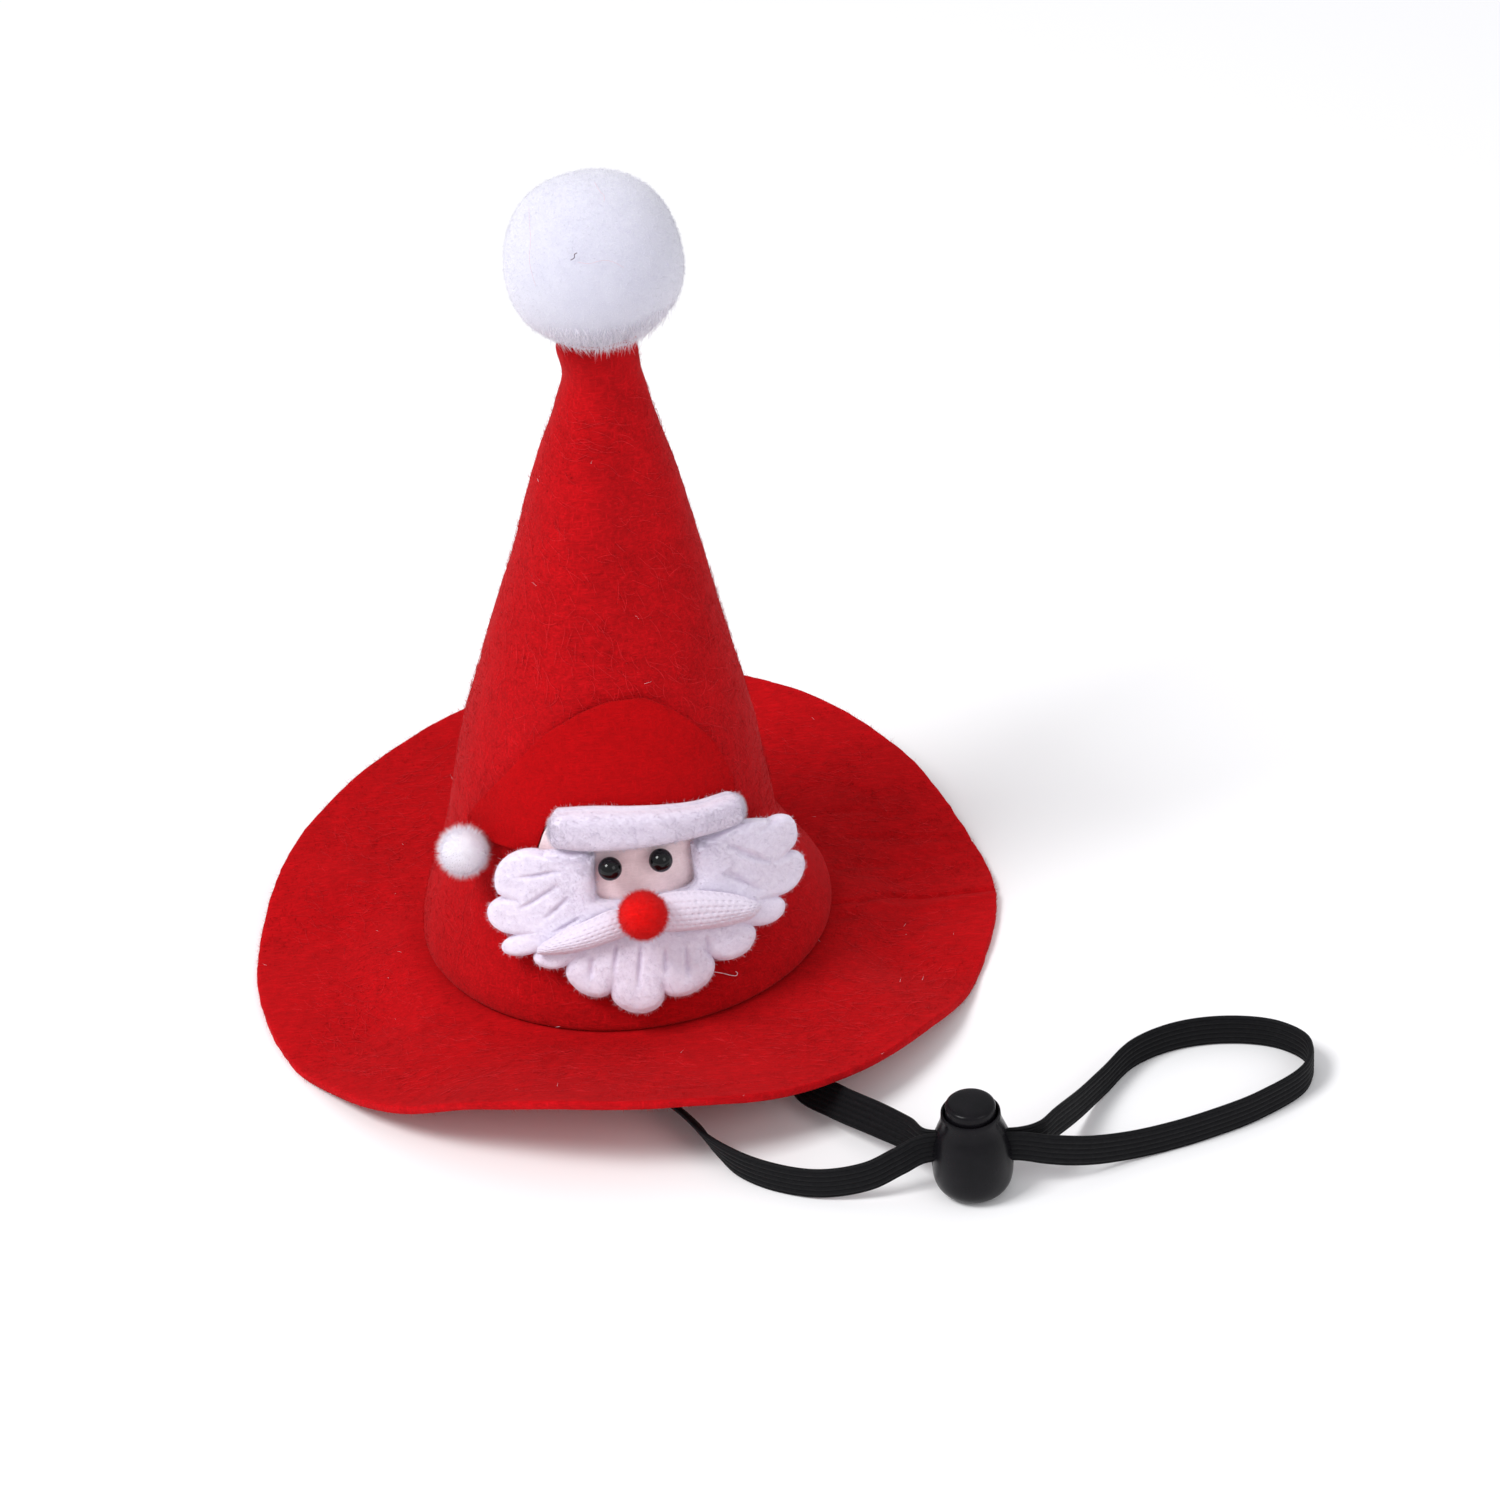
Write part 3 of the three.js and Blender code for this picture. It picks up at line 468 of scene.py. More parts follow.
def marked(tree, name, colour):
    """White, going over to the colour where the piece's own named mark is full."""
    mark = new_node(tree, "Attribute")
    mark.attribute_name = name
    return ramp(tree, mark.outputs["Fac"], (0.0, (1, 1, 1)), (1.0, colour))


def product(tree, first, *others):
    """Colours multiplied together."""
    for other in others:
        node = new_node(tree, "Mix", {"Factor": 1.0})
        node.data_type = "RGBA"
        node.blend_type = "MULTIPLY"
        tree.links.new(first, node.inputs["A"])
        tree.links.new(other, node.inputs["B"])
        first = node.outputs["Result"]
    return first


def finished(tree, shader, colour, values, height, distance, strength):
    """Shader with its colour, its constant values and a bump from the height value."""
    bump = new_node(tree, "Bump", {"Distance": distance, "Strength": strength}, Height=height)
    tree.links.new(colour, shader.inputs["Base Color"])
    tree.links.new(bump.outputs["Normal"], shader.inputs["Normal"])
    put_values(shader, values)


def brushed_felt(name, colour, fibre, sheen, tint, cloud=0.08, streak=0.22, soft=0.0):
    """Wool felt: fine fibres drawn long and thin at four angles, the palest on top, over soft blotches and
    faint clouds; where the piece marks its cut edge, painted light makes the felt paler."""
    material, tree, shader = blank(name)
    dark = tuple(c * (1 - cloud) for c in colour)
    light = tuple(c * (1 + cloud) for c in colour)
    clouds = ramp(tree, grain(tree, 0.011, detail=3), (0.3, dark), (0.5, colour), (0.7, light))
    blotch = ramp(tree, grain(tree, 0.0026, detail=4, rough=0.5),
                  (0.32, (1 - cloud,) * 3), (0.68, (1 + cloud,) * 3))
    top, *layers = [grain(tree, 0.00045, stretch, turn, 2, 0.5) for stretch, turn in (
        ((0.14, 1, 1), (0.0, 0.5, 0.35)), ((0.14, 1, 1), (0.3, -0.7, -0.5)),
        ((1, 1, 0.14), (0.5, 0.35, 0.0)), ((0.2, 1, 1), (0.2, 0.9, 0.8)))]
    for layer in layers:
        higher = new_node(tree, "Math")
        higher.operation = "MAXIMUM"
        tree.links.new(top, higher.inputs[0])
        tree.links.new(layer, higher.inputs[1])
        top = higher.outputs[0]
    strands = ramp(tree, top, (0.5, (1 - streak,) * 3), (0.64, (1, 1, 1)), (0.8, fibre))
    # Painted light: the felt is made paler where the piece marks its cut edge, which lies in shade.
    whole = product(tree, clouds, blotch, strands, marked(tree, "painted_edge_light", (1.2, 1.7, 1.6)))
    finished(tree, shader, whole, {
        "Roughness": 0.95, "Specular IOR Level": 0.12, "Sheen Weight": sheen, "Sheen Roughness": 0.5,
        "Sheen Tint": (*tint, 1), "Subsurface Weight": soft, "Subsurface Radius": (1.0, 0.3, 0.3),
        "Subsurface Scale": 0.002}, top, 0.0005, 0.4)
    return material


def soft_white(name, shade, body, glow, size, distance, strength, soft=0.0, depth=0.0012):
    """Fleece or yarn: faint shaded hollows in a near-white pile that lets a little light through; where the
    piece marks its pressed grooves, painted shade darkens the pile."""
    material, tree, shader = blank(name)
    pile = grain(tree, size, detail=5, rough=0.65)
    colour = ramp(tree, pile, (0.3, shade), (0.55, body), (0.8, glow))
    # Painted shade in pressed grooves: the pile darkens where the piece's groove mark is full.
    whole = product(tree, colour, marked(tree, "groove_depth_and_shade", (0.86, 0.82, 0.86)))
    finished(tree, shader, whole, {
        "Roughness": 1.0, "Specular IOR Level": 0.1, "Sheen Weight": 0.15, "Subsurface Weight": soft,
        "Subsurface Radius": (1.0, 0.95, 1.0), "Subsurface Scale": depth}, pile, distance, strength)
    return material


def black(name, size, detail, stops, values, distance, strength):
    """Dark yarn or glass: flecks of that size, coloured by the stops, which also roughen the surface."""
    material, tree, shader = blank(name)
    fleck = grain(tree, size, detail=detail)
    finished(tree, shader, ramp(tree, fleck, *stops), values, fleck, distance, strength)
    return material


def satin_plastic():
    """Moulded black plastic: fine spark texture and slightly uneven gloss."""
    material, tree, shader = blank("black_plastic")
    fine, broad = grain(tree, 0.00035, detail=2), grain(tree, 0.004, detail=3)
    colour = ramp(tree, broad, (0.3, (0.004, 0.004, 0.005)), (0.7, (0.007, 0.006, 0.008)))
    gloss = new_node(tree, "MapRange", {"To Min": 0.2, "To Max": 0.3}, Value=broad)
    tree.links.new(gloss.outputs["Result"], shader.inputs["Roughness"])
    finished(tree, shader, colour, {"Specular IOR Level": 0.13}, fine, 0.00005, 0.35)
    return material


# Felts and coloured yarns: colour, palest fibres against it, sheen and its tint; then the strength of the
# clouds and of the streaks, and how much light is let through, where they aren't the usual ones.
RED_FELT, CROWN_FELT, CAP_RED, RED_NAP, RED_FIBRE, RED_YARN, FACE_PINK, STRAY_RED, STRAY_DARK = (
    brushed_felt(*row) for row in (
        ("red_felt", (0.445, 0.0014, 0.0038), (1.2, 1.6, 1.6), 0.01, (1, 0.3, 0.32), 0.06, 0.16),
        ("crown_felt", (0.46, 0.0018, 0.0044), (1.25, 1.9, 1.9), 0.06, (1, 0.3, 0.34), 0.06, 0.2),
        ("cap_felt", (0.44, 0.0004, 0.0022), (1.15, 1.2, 1.2), 0.01, (1, 0.3, 0.3), 0.04, 0.12),
        # red_nap is paler than the felt: painted light that offsets the shade on the thin hairs.
        ("red_nap", (0.60, 0.005, 0.009), (1.15, 1.3, 1.3), 0.03, (1, 0.4, 0.4)),
        ("red_fibre", (0.74, 0.02, 0.028), (1.1, 1.2, 1.2), 0.03, (1, 0.4, 0.4)),
        ("red_yarn", (0.81, 0.005, 0.005), (1.1, 1.5, 1.5), 0.05, (1, 0.4, 0.4), 0.06, 0.12, 0.7),
        ("face_pink", (0.99, 0.79, 0.82), (1.01, 1.05, 1.05), 0.03, (1, 0.9, 0.9), 0.03, 0.06),
        ("stray_red", (0.80, 0.50, 0.56), (1.1, 1.1, 1.1), 0.0, (1, 1, 1)),
        ("stray_dark", (0.10, 0.06, 0.08), (1.1, 1.1, 1.1), 0.0, (1, 1, 1)),
    ))

# Whites: hollows, body and tips of the pile, size of its grain, depth and strength of the bump; then how
# much light is let through and how deep, where they aren't the usual ones.
FLEECE, BAND_FLEECE, KNIT, YARN, YARN_ENDS, TIP_BODY, TIP_YARN = (
    soft_white(*row) for row in (
        ("white_fleece", (0.76, 0.70, 0.83), (0.83, 0.77, 0.90), (0.88, 0.84, 0.94),
         0.0009, 0.0003, 0.3, 0.2),
        # band_fleece is the white fleece made darker: painted shade on the band.
        ("band_fleece", (0.73, 0.66, 0.78), (0.765, 0.695, 0.815), (0.80, 0.735, 0.85),
         0.0009, 0.0003, 0.25, 0.2),
        ("white_knit", (0.69, 0.62, 0.73), (0.76, 0.68, 0.80), (0.82, 0.75, 0.86),
         0.0006, 0.0003, 0.35, 0.1),
        ("white_yarn", (0.62, 0.615, 0.705), (0.645, 0.64, 0.725), (0.67, 0.665, 0.745),
         0.003, 0.0001, 0.1, 0.9, 0.009),
        ("yarn_ends", (0.79, 0.78, 0.87), (0.82, 0.81, 0.90), (0.85, 0.84, 0.93),
         0.003, 0.0001, 0.1),
        ("tip_body", (0.89, 0.86, 0.95), (0.91, 0.88, 0.97), (0.93, 0.90, 0.98),
         0.002, 0.0002, 0.1, 0.8, 0.003),
        ("tip_yarn", (0.91, 0.87, 0.97), (0.93, 0.90, 0.98), (0.95, 0.93, 0.99),
         0.002, 0.0002, 0.1),
    ))

# Blacks: size and detail of the flecks, their colours, constant values, depth and strength of the bump.
ELASTIC = black(
    "black_elastic", 0.0006, 4,
    ((0.3, (0.003, 0.003, 0.004)), (0.6, (0.006, 0.006, 0.007)), (0.85, (0.013, 0.012, 0.014))),
    {"Roughness": 0.6, "Specular IOR Level": 0.10, "Sheen Weight": 0.02}, 0.0002, 0.4)
PLASTIC = satin_plastic()
BEAD = black("black_bead", 0.0012, 2, ((0.3, (0.002, 0.002, 0.0025)), (0.7, (0.005, 0.005, 0.006))),
             {"Roughness": 0.10, "Specular IOR Level": 0.3}, 0.00003, 0.2)


# Elastic strap first
def strap_line(steps):
    """Centripetal Catmull-Rom curve through the route: knots spaced by the square root of the chord."""
    p = STRAP_ROUTE[:, :3]
    p = np.concatenate([[2 * p[0] - p[1]], p, [2 * p[-1] - p[-2]]])
    spacing = np.sqrt(np.linalg.norm(np.diff(p, axis=0), axis=1))[:, None]
    t = np.linspace(0, len(STRAP_ROUTE) - 1, steps)
    i = np.minimum(t.astype(int), len(STRAP_ROUTE) - 2)
    p0, p1, p2, p3 = (p[i + k] for k in range(4))
    d0, d1, d2 = (spacing[i + k] for k in range(3))
    leaving = ((p1 - p0) / d0 - (p2 - p0) / (d0 + d1) + (p2 - p1) / d1) * d1
    arriving = ((p2 - p1) / d1 - (p3 - p1) / (d1 + d2) + (p3 - p2) / d2) * d1
    lean = table_curve(np.arange(len(STRAP_ROUTE)), STRAP_ROUTE[:, 3], t)
    return eased((t - i)[:, None], p1, leaving, p2, arriving), lean


def elastic_strap():
    """Flat band carried along the route: cords across its width swell both faces, and its width leans from
    upright as the table says."""
    line, lean = strap_line(420)
    along = unit(np.gradient(line, axis=0))
    side = unit(np.stack([along[:, 1], -along[:, 0], 0 * along[:, 0]], -1))
    up = unit(np.cross(side, along))
    a = np.radians(lean)[:, None]
    wide = up * np.cos(a) + side * np.sin(a)
    thick = unit(np.cross(along, wide))
    across, squareness, cord_power, thinnest = 49, 12, 0.7, 0.02
    w = np.concatenate([np.linspace(1, -1, across), np.linspace(-1, 1, across)])
    face = np.repeat([1.0, -1.0], across)
    cords = np.abs(np.cos(STRAP_CORDS / 2 * np.pi * w)) ** cord_power
    edge = np.sqrt(np.maximum(0, 1 - np.abs(w) ** squareness))
    depth = STRAP_THICK / 2 * (0.5 + 0.5 * cords) * edge + thinnest
    loops = (line[:, None] + wide[:, None] * (w * STRAP_WIDTH / 2)[None, :, None]
             + thick[:, None] * (face * depth)[None, :, None])
    length = float(np.linalg.norm(np.diff(line, axis=0), axis=1).sum())
    return wrapped("elastic_band", loops, ELASTIC, "elastic_strap"), line, length


strap, strap_path, strap_length = elastic_strap()


# Cord lock
def turned(profile, segments):
    """Profile of radius and height carried round the lock's axis; rows run round, ends on the axis."""
    a = np.linspace(0, 2 * np.pi, segments, endpoint=False)
    return polar(profile[:, :1], a, profile[:, 1:]) + [LOCK_X, LOCK_Y, 0.0]


def rounded(profile, times):
    """Corner cutting: each round replaces a line of points by its quarter points, keeping both ends."""
    for _ in range(times):
        a, b = profile[:-1], profile[1:]
        cut = np.stack([0.75 * a + 0.25 * b, 0.25 * a + 0.75 * b], 1).reshape(-1, profile.shape[1])
        profile = np.concatenate([profile[:1], cut[1:-1], profile[-1:]])
    return profile


def cut_slot(thing, low, high):
    """Straight slot through the lock along the elastic, cut as a box and applied to the mesh."""
    reach, sharp = 14.0, 40
    half = np.array([reach, (2 * STRAP_THICK + 3 * GAP) / 2, (high - low) / 2])
    corner = np.array(list(np.ndindex(2, 2, 2))) * 2.0 - 1
    a = math.radians(LOCK_TURN)
    turn = np.array([[math.cos(a), -math.sin(a), 0], [math.sin(a), math.cos(a), 0], [0, 0, 1]])
    points = (corner * half) @ turn.T + [LOCK_X, LOCK_Y, (low + high) / 2]
    faces = [(0, 1, 3, 2), (4, 6, 7, 5), (0, 4, 5, 1), (2, 3, 7, 6), (0, 2, 6, 4), (1, 5, 7, 3)]
    mesh = bpy.data.meshes.new("slot_block")
    mesh.from_pydata((points * MM).tolist(), [], faces)
    block = placed("slot_block", mesh)
    cut = thing.modifiers.new("slot", "BOOLEAN")
    cut.operation = "DIFFERENCE"
    cut.solver = "EXACT"
    cut.object = block
    bpy.context.view_layer.update()
    done = bpy.data.meshes.new_from_object(thing.evaluated_get(bpy.context.evaluated_depsgraph_get()))
    thing.modifiers.clear()
    old = thing.data
    thing.data = done
    bpy.data.meshes.remove(old)
    bpy.data.objects.remove(block)
    bpy.data.meshes.remove(mesh)
    done.set_sharp_from_angle(angle=math.radians(sharp))


def cord_lock():
    """Bell body with a bore, turned from the table's radii, and its round push button with a soft edge."""
    outside = rounded(LOCK_BODY[:, ::-1], 2)
    rim = LOCK_BODY[-1, 0]
    lip = [(5.72, rim + 0.1), (5.52, rim + 0.14), (LOCK_BORE + 0.03, rim + 0.02)]
    bore = [(LOCK_BORE, rim - 0.3), (LOCK_BORE, LOCK_FLOOR), (AXIS_FLAT, LOCK_FLOOR)]
    profile = np.concatenate([[(AXIS_FLAT, 0.0)], outside, lip, bore])
    body = wrapped("lock_body", turned(profile, 96), PLASTIC, "cord_lock_body")
    cut_slot(body, SLOT_LOW, SLOT_HIGH)
    r, top = LOCK_PLUNGER, BUTTON_TOP
    low = LOCK_FLOOR + SLOT_TRAVEL + GAP
    upper = np.array([(r, low + 0.2), (r, top - 1.3), (r - 0.25, top - 0.4), (r - 1.2, top - 0.05),
                      (AXIS_FLAT, top)])
    profile = np.concatenate([[(AXIS_FLAT, low), (r - 0.2, low)], rounded(upper, 2)])
    button = wrapped("lock_button", turned(profile, 80), PLASTIC, "cord_lock_button",
                     body="lock_button")
    cut_slot(button, SLOT_LOW, SLOT_HIGH + SLOT_TRAVEL)
    return body, button


lock_body, lock_button = cord_lock()


# Brim
def felt_brim():
    """Ring of felt: cut outline carried round the bearings, from the head hole over the crown's seat to the
    edge table, with pressed creases, lumps in the wool and a slightly uneven cut edge."""
    coarse, fine, fine_from, fine_to = 1.1, 0.3, -8, 45
    bearing = np.concatenate([np.arange(-180, fine_from, coarse), np.arange(fine_from, fine_to, fine),
                              np.arange(fine_to, 180, coarse)])[:, None]
    share, swell, deep = felt_section(46, 24, 0.3)
    a = np.radians(bearing)
    hole, seat, edge = brim_radii(bearing)
    r = hole + (edge - hole) * share[None]
    beyond = (r - seat) / (edge - seat)
    z = brim_top(bearing + 0 * r, beyond)
    spot = polar(r, a, z)
    across = from_lines(spot, CREASES)[1]
    press = CREASES[:, 4] * np.exp(-(across / CREASES[:, 5]) ** 2)
    crease = press.max(-1).clip(0) + press.min(-1).clip(None, 0)
    rumple_from, rumple_to, long_out, short_round = -2, 60, 0.22, 60
    rumpled = np.clip((bearing - rumple_from) / 8, 0, 1) * np.clip((rumple_to - bearing) / 20, 0, 1)
    ripple = rumpled * lumps(np.stack([long_out * r, short_round * a + 0 * r, 0 * r], -1), 2.4, 17)
    uneven = wool(spot, (0.10, 3.2, 1), (0.08, 1.1, 2), (0.25, 12.0, 7)) + 0.2 * ripple
    top = z - crease + np.where(beyond > 0.02, uneven, 0)
    under = z - FELT
    height = under + (top - under) * deep[None]
    ragged = swell[None] * (1 + 0.8 * lumps(spot, 1.7, 3))
    piece = wrapped("felt_brim", polar(r + ragged, a, height), RED_FELT, "brim", ring=True)
    # Painted light on the brim's outer cut edge and the outermost strip of its top, where the felt's side
    # lies in shade.
    painted_edge_light = np.clip(swell / 0.2, 0, 1) + 0.4 * np.clip((share - 0.97) / 0.02, 0, 1) * (deep == 1)
    mark_points(piece, "painted_edge_light", np.broadcast_to(painted_edge_light, r.shape))


# Crown
def felt_crown():
    """Oval rings from the inside of the top down to the foot, round the turned-in foot and up the outside,
    with lumps in the wool; a felt wall, open below, whose rim slants a little down to the left."""
    bearing = np.linspace(0, 360, 250, endpoint=False)[None, :]
    top, ceiling = CROWN_TOP, CROWN_TOP - FELT
    inside = np.concatenate([[ceiling, ceiling - 0.3], np.linspace(ceiling - 2, 6, 34), [3.0, 1.2, 0.6]])
    outside = np.concatenate([[0.45, 0.9, 1.6, 2.6, 3.8], np.linspace(5.2, top - 1.2, 118),
                              [top - 0.5, top - 0.1, top]])
    inside, outside = inside[:, None], outside[:, None]
    slant = RIM_SLANT * np.cos(np.radians(bearing))
    inner, outer = crown_skin(bearing, inside, -FELT), crown_skin(bearing, outside)
    for skin, height, slant_from in ((inner, inside, RIM_FROM - FELT), (outer, outside, RIM_FROM)):
        skin[..., 2] = SEAT_HEIGHT + height + slant * np.clip((height - slant_from) / RIM_REACH, 0, 1)
    uneven = wool(outer, (0.10, 3.4, 4), (0.08, 1.2, 5), (0.30, 14.0, 6))
    foot, foot_fade, top_fade = 0.4, 2, 3
    fade = np.clip((outside - foot) / foot_fade, 0, 1) * np.clip((top - outside) / top_fade, 0, 1)
    outer = outer + crown_normal(bearing, outside) * (uneven * fade)[..., None]
    piece = wrapped("felt_crown", np.concatenate([inner, outer]), CROWN_FELT, "crown")


felt_brim()
felt_crown()


# Pompoms
def ball_ways(count):
    """Directions spread evenly over a ball by the golden angle."""
    k = np.arange(count)
    z = 1 - (2 * k + 1) / count
    return polar(np.sqrt(1 - z * z), k * math.pi * (3 - math.sqrt(5)), z)


def pompom(name, node, seed, centre, radius, body, hairs, width, length, rise, yarn, fuzz,
           sides=EVEN_SIDES, floor=0.0):
    """Trimmed yarn ball: a softly lumpy head, fuller or slacker towards its sides, under a pile of fine
    yarn ends rooted just below its skin that lie over at the rise angles in every direction."""
    rng = np.random.default_rng(seed)
    rows, columns, side_narrow, scatter, sunk = 66, 110, 6, 0.012, 0.12
    a = np.radians(sides[:, 0])[:, None]
    toward = np.cos(a) * [[1.0, 0.0, 0.0]] + np.sin(a) * POMPOM_RING_UP

    def trimmed(way):
        """Radius each way: the body's share, with lumps and the fuller or slacker sides added."""
        lump = wool(way, (0.010, 0.55, seed), (0.004, 0.22, seed + 1))
        off = ((way[..., None, :] - toward) ** 2).sum(-1)
        return radius * (body + lump + (sides[:, 1] * np.exp(-side_narrow * off)).sum(-1))

    way = unit(ball_ways(hairs) + rng.normal(0, scatter, (hairs, 3)))
    over = unit(np.cross(way, rng.normal(0, 1, (hairs, 3))))
    angle = np.radians(rng.uniform(*rise, hairs))[:, None]
    long = rng.uniform(*length, hairs)[:, None]
    root = centre + way * (trimmed(way) - sunk)[:, None]
    tip = root + long * (way * np.sin(angle) + over * np.cos(angle))
    tip[:, 2] = np.maximum(tip[:, 2], floor)
    root[:, 2] = np.maximum(root[:, 2], floor + 0.2)
    u = np.linspace(0, math.pi, rows)[1:-1, None]
    v = np.linspace(0, 2 * math.pi, columns, endpoint=False)[None]
    ball = polar(np.sin(u), v, np.cos(u))
    head = centre + ball * trimmed(ball)[..., None]
    head[..., 2] = np.maximum(head[..., 2], floor + 0.1)
    wrapped(name, head, yarn, node)
    spikes(name + "_fuzz", root, tip, width, fuzz, seed + 2)


def neck_hairs(hairs=1500, seed=17):
    """Long ends of the pompom brushed down over the crown's neck: rooted low on the ball, most of them at
    the front, they follow its skin downward, a little lifted and ruffled, past the neck's rim."""
    rng = np.random.default_rng(seed)
    any_side, front_bearing, front_spread, lowest, highest = 0.25, -85, 30, -57, -20
    rooted, lifted, ruffled, shortest, longest = 0.965, 0.2, 0.3, 1.0, 4.0
    a = np.where(rng.random(hairs) < any_side, rng.uniform(0, 360, hairs),
                 rng.normal(front_bearing, front_spread, hairs))
    e = np.radians(rng.uniform(lowest, highest, hairs))[:, None]
    side = polar(1.0, np.radians(a), 0.0)
    way = side * np.cos(e) + UP * np.sin(e)
    down = side * np.sin(e) - UP * np.cos(e)
    start = POMPOM_CENTRE + rooted * POMPOM_RADIUS * way
    fall = unit(down + lifted * way + rng.normal(0, ruffled, (hairs, 3)))
    end = start + fall * rng.uniform(shortest, longest, hairs)[:, None]
    neck, clear = np.array([CROWN[-1, 2], 0.0]), 8.0
    from_neck = np.hypot(end[:, 0] - neck[0], end[:, 1])
    end[:, :2] = neck + (end[:, :2] - neck) * np.maximum(clear / np.maximum(from_neck, 1), 1)[:, None]
    # The neck hairs take the paler tip yarn: painted light on hairs that lie in the ball's shade.
    spikes("neck_hairs", start, end, 0.05, TIP_YARN, seed + 1)


pompom("yarn_pompom", "top_pompom", 11, POMPOM_CENTRE, POMPOM_RADIUS,
       body=0.962, hairs=26000, width=0.026, length=(0.5, 1.5), rise=(8, 45), yarn=YARN, fuzz=YARN_ENDS,
       sides=POMPOM_SIDES, floor=SEAT_HEIGHT + CROWN_TOP + GAP)
neck_hairs()
pompom("nose_ball", "nose_pompom", 21, front(*NOSE_AT, NOSE_OUT - NOSE_PRESSED), NOSE_RADIUS,
       body=0.92, hairs=4200, width=0.042, length=(0.5, 1.5), rise=(40, 90), yarn=RED_YARN, fuzz=RED_YARN)
pompom("tip_ball", "cap_pompom", 31, front(*TIP_AT, TIP_OUT), SMALL_POMPOM_RADIUS,
       body=0.84, hairs=3600, width=0.040, length=(0.8, 2.3), rise=(45, 90), yarn=TIP_BODY, fuzz=TIP_YARN)


# Loose threads
def thread(name, line, radius, material, slot):
    """Thin round thread along a line smoothed by corner cutting."""
    line = rounded(line, 3)
    along = unit(np.gradient(line, axis=0))
    ring = ring_round(along, [[0.3, -0.5, 0.8]], np.radians(np.arange(0, 360, 60)))
    wrapped(name, line[:, None] + radius * ring, material)


def on_pompom(places, lift=0.25):
    """Places on the top pompom given as turn from the front and rise, both in degrees."""
    t, e = np.radians(np.array(places)).T
    way = np.stack([np.sin(t) * np.cos(e), -np.cos(t) * np.cos(e), np.sin(e)], -1)
    return POMPOM_CENTRE + way * (POMPOM_RADIUS * 0.99 + lift)


# Threads on the pompom: turns and rises, radius, material, slot.
STRAYS = {
    "stray_top": ([(28, 81), (22, 72), (26, 68), (20, 64)], 0.028, STRAY_RED, "red_yarn"),
    "stray_middle": ([(-12, 27.5), (-4, 26), (4, 28), (12, 26), (18, 21)], 0.028, STRAY_RED, "red_yarn"),
    "stray_left": ([(-78, 49), (-60, 41), (-53, 36), (-49, 22), (-41, 9)], 0.022, STRAY_RED, "red_yarn"),
    "stray_speck": ([(-12.6, 33), (-14.8, 32), (-14, 30), (-17, 28.5)], 0.08, STRAY_DARK, None),
}
for name, (places, *rest) in STRAYS.items():
    thread(name, on_pompom(places), *rest)

# Thread hanging from the beard: turn from the front, height, lift.
BEARD_STRAY = np.array([
    (22.5, 10, 1.2), (24.5, 9.6, 0.6), (27, 8.6, 0.4), (29, 7.6, 0.4), (30.2, 7.2, 0.5), (30.9, 7.7, 0.7),
    (30.4, 8.1, 0.8),
])
thread("stray_beard", front(*BEARD_STRAY.T), 0.06, TIP_YARN, "white_yarn")


# Pieces on the crown's front
def laid_piece(name, node, material, table, columns, section, under, thick, layers, power=0,
               lean=None, thin=None, stitch=None):
    """Piece between a lower and an upper edge on the crown's front: the cut outline carried across the
    turns, crowned where it has a power, by a half round at 2 and flatter at more, with its wool's lumps
    and its stitches added along the normal."""
    share, swell, deep = section
    first, last = table[0, 0], table[-1, 0]
    blunt, end_reach, rim = 0.04, 5, 0.3
    turn = first + (last - first) * (0.5 - 0.5 * np.cos(np.linspace(blunt, math.pi - blunt, columns)))
    turn = np.sort(np.concatenate([turn, table[1:-1, 0]]))[:, None]
    lower, upper = (table_curve(table[:, 0], table[:, k], turn) for k in (1, 2))
    tall = upper - lower
    height = lower + tall * share[None] + swell[None] * np.clip(tall / 2, 0, 1)
    depth = thick * (thin(turn) if thin else 1)
    if power:
        end = np.clip(np.minimum(turn - first, last - turn) / end_reach, 0, 1)
        bulge = np.sqrt(np.maximum(0, 1 - np.abs(2 * share[None] - 1) ** power))
        depth = depth * (rim + (1 - rim) * bulge * np.sqrt(end))
    base = under + (lean(turn) if lean else 0)
    more = wool(front(turn, height, base + 0 * height), *layers)
    if stitch:
        more = more + stitch(turn, share[None])
    return wrapped(name, front(turn, height, base + deep[None] * (depth + more)), material, node)


def nose_thin(turn):
    """The moustache thins to half under the nose."""
    thinner, nose_reach = 0.5, 5
    return 1 - thinner * np.exp(-(((turn - MOUSTACHE_MIDDLE) / nose_reach) ** 2))


def knit_pits(turn, share):
    """Knit of small pits in offset rows that follow the moustache, sunk into a raised pile."""
    stitch, rows, pit_deep, pit_wide, raised = 1.25, 6.5, 0.33, 0.035, 0.15
    along = (turn - MOUSTACHE_MIDDLE) * MM_PER_TURN / stitch
    across = share * rows
    shift = 0.5 * (np.floor(across) % 2)
    pit = np.exp(-(((along + shift) % 1 - 0.5) ** 2 + ((across % 1) - 0.5) ** 2) / pit_wide)
    return raised - pit_deep * pit


felt_cut = felt_section(26, 10, 0.15)
pad_cut = felt_section(56, 12, 0.35)
cap = laid_piece("felt_cap", "cap_applique", CAP_RED, CAP_EDGE, 110, felt_cut, GAP, CAP_FELT,
                 layers=((0.07, 1.6, 8), (0.05, 0.7, 9)))
face = laid_piece("felt_face", "face_felt", FACE_PINK, FACE_EDGE, 60, felt_cut, GAP,
                  FACE_FELT, layers=((0.05, 1.2, 10),))
band = laid_piece("fleece_band", "cap_band", BAND_FLEECE, BAND_EDGE, 150, pad_cut,
                  GAP + CAP_FELT + GAP, BAND_THICK, layers=((0.08, 2.8, 12), (0.04, 0.7, 13)), power=4)
moustache = laid_piece("knit_moustache", "moustache", KNIT, MOUSTACHE_EDGE, 200, pad_cut,
                       BEARD_TOP + GAP, MOUSTACHE_THICK, layers=((0.08, 1.6, 14),), power=2,
                       lean=standoff, thin=nose_thin, stitch=knit_pits)


